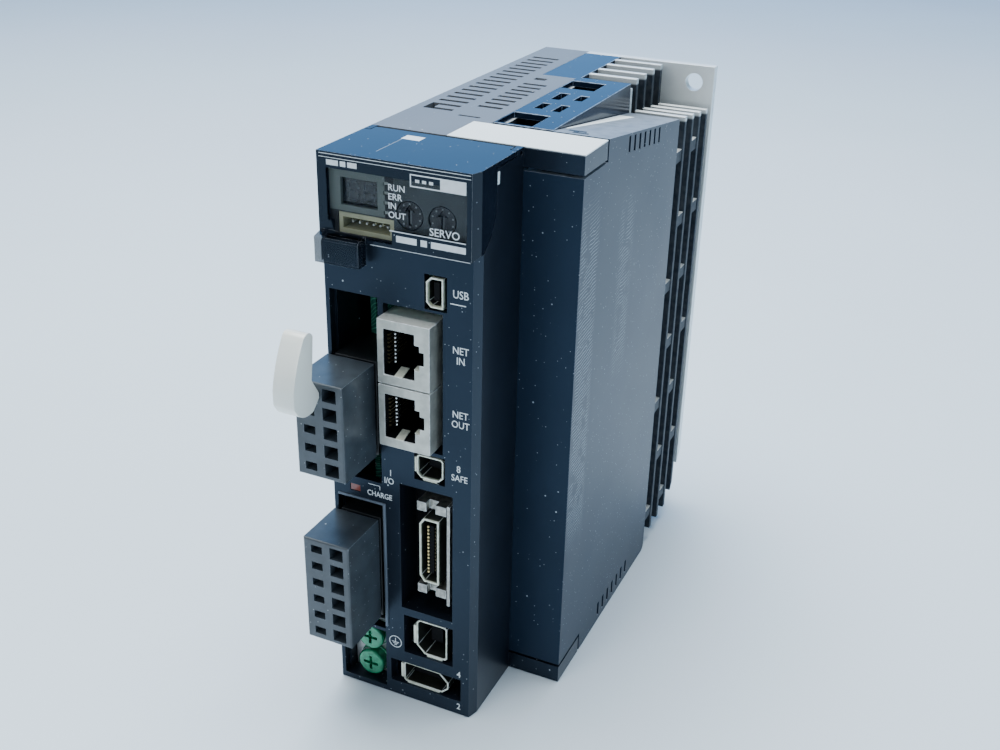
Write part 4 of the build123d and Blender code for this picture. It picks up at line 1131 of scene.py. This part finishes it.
@dataclass
class DisplayWindow:
    """Clear cover, digits, dials and the print on the cover."""

    layout: Layout
    cover_round: float = 0.22
    ink_depth: float = -1.19
    digit_height: float = 4.6
    digit_width: float = 2.7
    digit_offset: float = 2.2
    bar: float = 0.5
    bar_faces: Span = (0.12, 0.02)
    bar_round: float = 0.05
    dot_gap: float = 0.8
    dot_radius: float = 0.32
    dot_thickness: float = 0.1
    arrow_half: float = 0.3
    arrow_up: Span = (-2.2, 1.0)
    arrow_faces: Span = (0.6, 0.75)
    arrow_round: float = 0.03
    ticks: int = 10
    tick_ring: float = 2.65
    tick_radius: float = 0.24
    tick_thickness: float = 0.05
    tick_gap: float = 0.02
    status_words: tuple[tuple[str, float], ...] = (
        ("RUN", 143.4), ("ERR", 141.3), ("IN", 139.2), ("OUT", 137.1),
    )
    # pale lines along the cover's top front edge and its bottom edge: painted highlights
    edge_glint_lines: tuple[tuple[Span, Span], ...] = (
        ((0.7, 38.7), (149.42, 149.56)), ((0.7, 38.7), (148.62, 148.74)), ((13.4, 38.7), (129.74, 129.86)),
    )
    pins: int = 6
    pin_inset: float = 2.6
    pin_half: float = 0.25

    def build(self) -> None:
        """Build everything seen through the clear cover."""
        softened("display_cover", Body.COVER, Finishes.LENS, self.cover_round)
        self.build_digits()
        self.build_dials()
        self.build_print()
        self.build_corner_glint()
        self.build_connector_pins()

    def build_digits(self) -> None:
        """Add two unlit seven-bar digits with their dots."""
        low, high = self.layout.corners("seven_segment_display")
        shape = Shape(self.layout)
        for offset in (-self.digit_offset, self.digit_offset):
            self.add_digit(shape, (low[0] + high[0]) / 2 + offset, low[1], (low[2] + high[2]) / 2)
        shape.piece("digit_bars", Body.DRIVE, Finishes.SEGMENT)

    def add_digit(self, shape: Shape, centre: float, face: float, level: float) -> None:
        """Add the seven bars and the dot of one digit.

        Args:
            shape: The digits' shape.
            centre: The digit's middle from the left.
            face: The display's face behind the front panel.
            level: The digit's middle height.
        """
        half_w, half_h, bar = self.digit_width / 2, self.digit_height / 2, self.bar
        lying = [((bar - half_w, half_w - bar), (up - bar / 2, up + bar / 2)) for up in (-half_h, 0, half_h)]
        standing = [
            ((side - bar / 2, side + bar / 2), ends)
            for side in (-half_w, half_w)
            for ends in ((bar - half_h, -bar), (bar, half_h - bar))
        ]
        proud, sunk = self.bar_faces
        for across, up in lying + standing:
            low = (centre + across[0], face - proud, level + up[0])
            shape.block(low, (centre + across[1], face - sunk, level + up[1]), self.bar_round, 1)
        dot = (centre + half_w + self.dot_gap, face - sunk, level - half_h)
        shape.disc(self.dot_radius, self.dot_thickness, dot, 14)

    def build_dials(self) -> None:
        """Add a ring of ticks around each dial and a pale arrow in it."""
        for node, body in (("tens_dial", Body.TENS), ("ones_dial", Body.ONES)):
            low, high = self.layout.corners(node)
            across, face, up = (low[0] + high[0]) / 2, low[1], (low[2] + high[2]) / 2
            first, last = (face + depth for depth in self.arrow_faces)
            foot, tip = (up + reach for reach in self.arrow_up)
            marks = Shape(self.layout)
            marks.block(
                (across - self.arrow_half, first, foot), (across + self.arrow_half, last, tip),
                self.arrow_round, 1,
            )
            for step in range(self.ticks):
                angle = tau * step / self.ticks
                aside, above = self.tick_ring * sin(angle), self.tick_ring * cos(angle)
                centre = (across + aside, face + self.tick_gap, up + above)
                marks.disc(self.tick_radius, self.tick_thickness, centre, 10)
            marks.piece(f"{node}_marks", body, Finishes.GREY_INK)

    def build_print(self) -> None:
        """Print the generic words and the rating box on the cover's inner face, and three pale lines that are
        painted highlights along its top and bottom edges.
        """
        along = self.ink_depth
        sheet = InkSheet("cover_print_and_glints", self.layout, Body.COVER, Finishes.INK)
        for text, up in self.status_words:
            sheet.words(text, 1.45, (18.3, along, up))
        box_up = (145.0, 147.9)
        sheet.frame((23.9, 31.6), box_up, along, line=0.28)
        sheet.strip((31.6, 37.6), box_up, along)
        sheet.bars(((25.2, 1.0), (26.9, 1.0), (28.6, 1.0)), (146.1, 146.8), along)
        sheet.words("SERVO", 1.75, (28.6, along, 134.6))
        sheet.strip((18.5, 37.6), (133.9, 134.12), along)
        sheet.bars(((20.2, 5.2), (26.4, 1.6), (29.0, 8.6)), (131.6, 133.1), along)
        # painted highlights along the cover's edges
        for across, up in self.edge_glint_lines:
            sheet.strip(across, up, along)
        sheet.bars(((2.6, 3.1), (6.2, 1.4), (8.1, 2.4)), (147.0, 148.2), along)
        sheet.piece()

    def build_corner_glint(self) -> None:
        """Add a small pale block at the cover's right rear corner, a painted glint on that corner."""
        _, high = self.layout.corners("display_cover")
        shape = Shape(self.layout)
        shape.block((39.6, 9.5, high[2] - 5.2), (40.1, 10.6, high[2] - 2.2), round_off=0.15)
        shape.piece("corner_glint", Body.DRIVE, Finishes.LABEL)

    def build_connector_pins(self) -> None:
        """Add the row of pins inside the pale monitor connector."""
        low, high = self.layout.corners("monitor_connector")
        first, last = low[0] + self.pin_inset, high[0] - self.pin_inset
        shape = Shape(self.layout)
        for step in range(self.pins):
            across = first + step * (last - first) / (self.pins - 1)
            near = (across - self.pin_half, 2.0, 133.1)
            shape.block(near, (across + self.pin_half, 6.9, 133.6), round_off=0.06, segments=1)
        shape.piece("monitor_pins", Body.DRIVE, Finishes.TIN)


@dataclass
class PanelMarks:
    """Generic port numbers and symbols printed on the front case."""

    layout: Layout
    face: float = 0.01
    column: float = 33.6
    squeeze: float = 0.86
    charge_squeeze: float = 0.84
    earth: Span = (17.1, 17.6)
    earth_bars: tuple[Span, ...] = ((1.05, 0.0), (0.7, 0.45), (0.35, 0.9))

    def build(self) -> None:
        """Print the panel."""
        sheet = InkSheet("panel_print", self.layout, Body.DRIVE, Finishes.INK)
        face, column = self.face, self.column
        for text, height, across, up in (
            ("USB", 1.9, column + 0.2, 120.3), ("NET", 1.8, column + 0.2, 106.5),
            ("IN", 1.8, column + 1.2, 103.9), ("NET", 1.8, column + 0.2, 89.8),
            ("OUT", 1.8, column, 87.2), ("8", 1.8, column + 1.4, 75.0),
            ("SAFE", 1.7, column, 72.5), ("1", 1.7, 16.2, 69.0), ("I/O", 1.7, 14.8, 66.6),
            ("4", 1.9, column + 1.8, 12.4), ("2", 1.9, column + 1.8, 1.6),
        ):
            sheet.words(text, height, (across, face, up), self.squeeze)
        sheet.words("CHARGE", 1.5, (9.8, face, 61.8), self.charge_squeeze)
        sheet.strip((10.2, 13.6), (65.0, 65.16), face)
        sheet.strip((13.44, 13.6), (63.9, 65.16), face)
        sheet.strip((column - 0.4, column + 3.6), (118.6, 118.85), face)
        self.print_earth_mark(sheet)
        sheet.piece()

    def print_earth_mark(self, sheet: InkSheet) -> None:
        """Print a ring with the three bars of an earth point."""
        across, up = self.earth
        sheet.ring((across, self.face, up), radius=1.9, line=0.22)
        sheet.strip((across - 0.1, across + 0.1), (up, up + 1.2), self.face)
        for half, drop in self.earth_bars:
            sheet.strip((across - half, across + half), (up - drop - 0.2, up - drop), self.face)


@dataclass
class Sockets:
    """Sockets of the front panel."""

    layout: Layout
    jacks: tuple[str, ...] = ("ethernet_jack_in", "ethernet_jack_out")
    shells: tuple[str, ...] = (
        "usb_shell", "ethernet_jack_in", "ethernet_jack_out", "safety_port_shell", "scale_port_shell",
        "encoder_port_shell", "io_connector_shell", "io_latch_posts", "io_bracket",
        "monitor_connector", "io_connector_insert",
    )
    shell_round: float = 0.12
    port_springs: tuple[tuple[str, Span, Span], ...] = (
        ("scale_port_shell", (2.6, 8.6), (2.9, 7.6)),
        ("encoder_port_shell", (0.9, 5.6), (0.9, 10.8)),
        ("safety_port_shell", (1.4, 5.6), (1.6, 5.6)),
    )
    spring_gap: float = 0.08
    side_spring: float = 0.95
    foot_spring: float = 0.8
    spring_along: Span = (0.1, 2.6)
    spring_round: float = 0.2
    pocket_wall: float = 0.5
    pocket_along: Span = (2.3, 8.4)
    pockets: tuple[tuple[Span, Span], ...] = (
        ((19.2, 34.0), (29.7, 67.5)), ((19.8, 34.2), (15.2, 27.4)), ((16.2, 36.6), (4.3, 11.6)),
    )
    tips: int = 14
    tip_pitch: float = 1.05
    tip_half: float = 0.27
    tip_across: Span = (26.25, 26.75)
    tip_along: Span = (1.25, 1.62)
    tip_round: float = 0.08
    wires: int = 8
    wire_pitch: float = 1.02
    wire_shift: float = 3.1

    def build(self) -> None:
        """Round the shells and add their springs."""
        for node in self.shells:
            softened(node, Body.DRIVE, NODE_FINISHES[node], self.shell_round)
        self.build_springs()
        self.build_jack_wires()
        self.build_pockets()
        self.build_contact_tips()

    def build_springs(self) -> None:
        """Add the sprung shield tabs of the jacks and the lower ports."""
        shape = Shape(self.layout)
        for jack in self.jacks:
            (left, _, foot), _ = self.layout.corners(jack)
            shape.tongue((left + 4.4, -2.95, foot + 2.2), (left + 6.6, 0.6, foot + 2.5), lift=1.0)
            shape.tongue((left + 9.6, -2.6, foot + 4.9), (left + 11.4, -0.9, foot + 5.2), lift=0.3)
        for port, up, across in self.port_springs:
            self.add_port_springs(shape, port, up, across)
        shape.piece("shield_springs", Body.DRIVE, Finishes.PALE_METAL)

    def add_port_springs(self, shape: Shape, port: str, up: Span, across: Span) -> None:
        """Add the springs at the left and under one port's shell.

        Args:
            shape: The springs' shape.
            port: The shell's node.
            up: Ends of the left spring above the shell's foot.
            across: Ends of the lower spring from the shell's left.
        """
        (left, front, foot), _ = self.layout.corners(port)
        near, far = (front + along for along in self.spring_along)
        side, under = left - self.spring_gap, foot - self.spring_gap
        low = (left - self.side_spring, near, foot + up[0])
        shape.block(low, (side, far, foot + up[1]), self.spring_round)
        low = (left + across[0], near, foot - self.foot_spring)
        shape.block(low, (left + across[1], far, under), self.spring_round)

    def build_contact_tips(self) -> None:
        """Put the bright tips of the signal connector's contacts along its bar."""
        low, high = self.layout.corners("io_connector_contacts")
        shape = Shape(self.layout)
        for step in range(self.tips):
            level = (low[2] + high[2]) / 2 + (step - (self.tips - 1) / 2) * self.tip_pitch
            near = (self.tip_across[0], self.tip_along[0], level - self.tip_half)
            far = (self.tip_across[1], self.tip_along[1], level + self.tip_half)
            shape.block(near, far, self.tip_round, 1)
        shape.piece("io_contact_tips", Body.DRIVE, Finishes.GOLD)

    def build_pockets(self) -> None:
        """Line the openings around the sunk sockets with moulded walls."""
        shape = Shape(self.layout)
        wall = self.pocket_wall
        near, far = self.pocket_along
        for (left, right), (foot, top) in self.pockets:
            shape.block((left - wall, near, foot - wall), (left, far, top + wall))
            shape.block((right, near, foot - wall), (right + wall, far, top + wall))
            shape.block((left, near, foot - wall), (right, far, foot))
            shape.block((left, near, top), (right, far, top + wall))
        shape.piece("pocket_walls", Body.DRIVE, Finishes.CHARCOAL)

    def build_jack_wires(self) -> None:
        """Add the eight bent contact wires in each jack's mouth."""
        shape = Shape(self.layout)
        for jack in self.jacks:
            (left, _, foot), (_, _, top) = self.layout.corners(jack)
            for step in range(self.wires):
                up = (foot + top) / 2 + (step - self.wire_shift) * self.wire_pitch
                bend = (left + 3.1, -0.1, up)
                shape.rod(bend, (left + 3.6, -0.7, up), radius=0.2, steps=10)
                shape.rod(bend, (left + 2.0, 4.0, up), radius=0.12, steps=8)
        shape.piece("jack_wires", Body.DRIVE, Finishes.TIN)


@dataclass
class Plugs:
    """Terminal plugs, headers, lever and earth screws."""

    layout: Layout
    plug_round: float = 0.18
    lever_round: float = 0.9
    header_round: float = 0.15
    screw_round: float = 0.3
    washer: tuple[Span, ...] = ((0, 0), (4.25, 0), (4.35, 0.15), (4.3, 0.6), (3.9, 0.75), (0, 0.8))
    washer_back: float = 3.38
    head_radius: float = 4.0

    def build(self) -> None:
        """Round the plugs and dress them."""
        softened("power_plug", Body.POWER_PLUG, Finishes.PLUG, self.plug_round)
        softened("motor_plug", Body.MOTOR_PLUG, Finishes.PLUG, self.plug_round)
        softened("wiring_lever", Body.LEVER, Finishes.LEVER, self.lever_round, 4, True)
        for node in ("power_header", "motor_header", "earth_plate"):
            softened(node, Body.DRIVE, NODE_FINISHES[node], self.header_round)
        softened("earth_screws", Body.DRIVE, Finishes.EARTH, self.screw_round)
        self.build_earth_washers()

    def build_earth_washers(self) -> None:
        """Put a flanged washer under each earth screw's head."""
        low, high = self.layout.corners("earth_screws")
        across, back = (low[0] + high[0]) / 2, low[1] + self.washer_back
        shape = Shape(self.layout)
        for up in (low[2] + self.head_radius, high[2] - self.head_radius):
            shape.lathe(list(self.washer), (across, back, up))
        shape.piece("earth_washers", Body.DRIVE, Finishes.EARTH)


@dataclass
class Studio:
    """Floor, lights and camera."""

    layout: Layout
    azimuth: float = 24.2685
    elevation: float = 26.3010
    roll: float = 1.3189
    lens: float = 43.688
    sensor: float = 36.0
    nearest: float = 0.01
    place: Place = (147.573, -225.442, 225.859)
    aim: Place = (0, 0, 0.08)
    floor_half: float = 3.0
    floor_squares: int = 8
    floor_drop: float = 0.0002
    surround: Colour = (0.58, 0.79, 1.0)
    surround_strength: float = 0.38

    def build(self) -> None:
        """Set the stage."""
        self.build_floor()
        self.build_lights()
        self.build_camera()

    def build_floor(self) -> None:
        """Lay a wide pale floor."""
        mesh = bmesh.new()
        squares = self.floor_squares
        bmesh.ops.create_grid(mesh, x_segments=squares, y_segments=squares, size=self.floor_half)
        data = bpy.data.meshes.new("floor")
        mesh.to_mesh(data)
        mesh.free()
        floor = bpy.data.objects.new("floor", data)
        floor.location = (0, 0, -self.floor_drop)
        bpy.context.scene.collection.objects.link(floor)
        data.materials.append(Finishes.PAPER.material())

    def area(self, name: str, at: Place, size: Span, power: float, colour: Colour) -> None:
        """Hang a soft rectangular light that looks at the drive's middle.

        Args:
            name: The light's name.
            at: Its place in metres.
            size: Its width and height in metres.
            power: Its power in watts.
            colour: Its colour.
        """
        light = bpy.data.lights.new(name, "AREA")
        light.shape = "RECTANGLE"
        light.size, light.size_y = size
        light.energy = power
        light.color = colour
        holder = bpy.data.objects.new(name, light)
        holder.location = at
        holder.rotation_euler = (Vector(self.aim) - Vector(at)).to_track_quat("-Z", "Y").to_euler()
        bpy.context.scene.collection.objects.link(holder)

    def build_lights(self) -> None:
        """Hang the lights and set a pale surround."""
        self.area("overhead", (-0.15, 0.10, 1.10), (0.9, 0.9), 25.0, (0.93, 0.98, 1.0))
        self.area("back_panel", (-0.60, 1.50, 0.90), (2.2, 1.2), 14.0, (0.10, 0.42, 1.0))
        self.area("right_side", (1.10, 0.35, 0.60), (0.8, 0.8), 2.4, (0.50, 0.76, 1.0))
        self.area("front_fill", (-0.35, -1.05, 0.60), (0.5, 0.5), 2.6, (0.95, 0.98, 1.0))
        world = bpy.data.worlds.new("surround")
        world.use_nodes = True
        background = world.node_tree.nodes["Background"]
        background.inputs["Color"].default_value = rgba(self.surround)
        background.inputs["Strength"].default_value = self.surround_strength
        bpy.context.scene.world = world

    def build_camera(self) -> None:
        """Place the camera at the viewing angle."""
        turn, tilt, roll = radians(self.azimuth), radians(self.elevation), radians(self.roll)
        forward = Vector((-sin(turn) * cos(tilt), cos(turn) * cos(tilt), -sin(tilt)))
        level = Vector((cos(turn), sin(turn), 0))
        upright = level.cross(forward)
        right = level * cos(roll) + upright * sin(roll)
        up = upright * cos(roll) - level * sin(roll)
        camera = bpy.data.cameras.new("camera")
        camera.sensor_width = self.sensor
        camera.sensor_fit = "HORIZONTAL"
        camera.lens = self.lens
        camera.clip_start = self.nearest
        holder = bpy.data.objects.new("camera", camera)
        holder.matrix_world = Matrix.Translation(self.layout.at(*self.place)) @ Matrix(
            (right, up, -forward)
        ).transposed().to_4x4()
        bpy.context.scene.collection.objects.link(holder)
        bpy.context.scene.camera = holder


def dress_nodes(nodes: dict[str, bpy.types.Object]) -> None:
    """Give every node its finish."""
    for name, item in nodes.items():
        finish = NODE_FINISHES[name]
        if not item.material_slots:
            item.data.materials.append(None)
        for slot in item.material_slots:
            slot.material = finish.material()


def main() -> None:
    """Build the drive's looks in order."""
    logging.basicConfig(level=logging.INFO)
    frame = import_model()
    layout = Layout.from_case()
    Studio(layout).build()
    dress_nodes(frame["nodes"])
    for part in (Casing, DisplayWindow, PanelMarks, Sockets, Plugs):
        part(layout).build()
        LOG.info("finished %s", part.__name__)


if __name__ == "__main__":
    main()
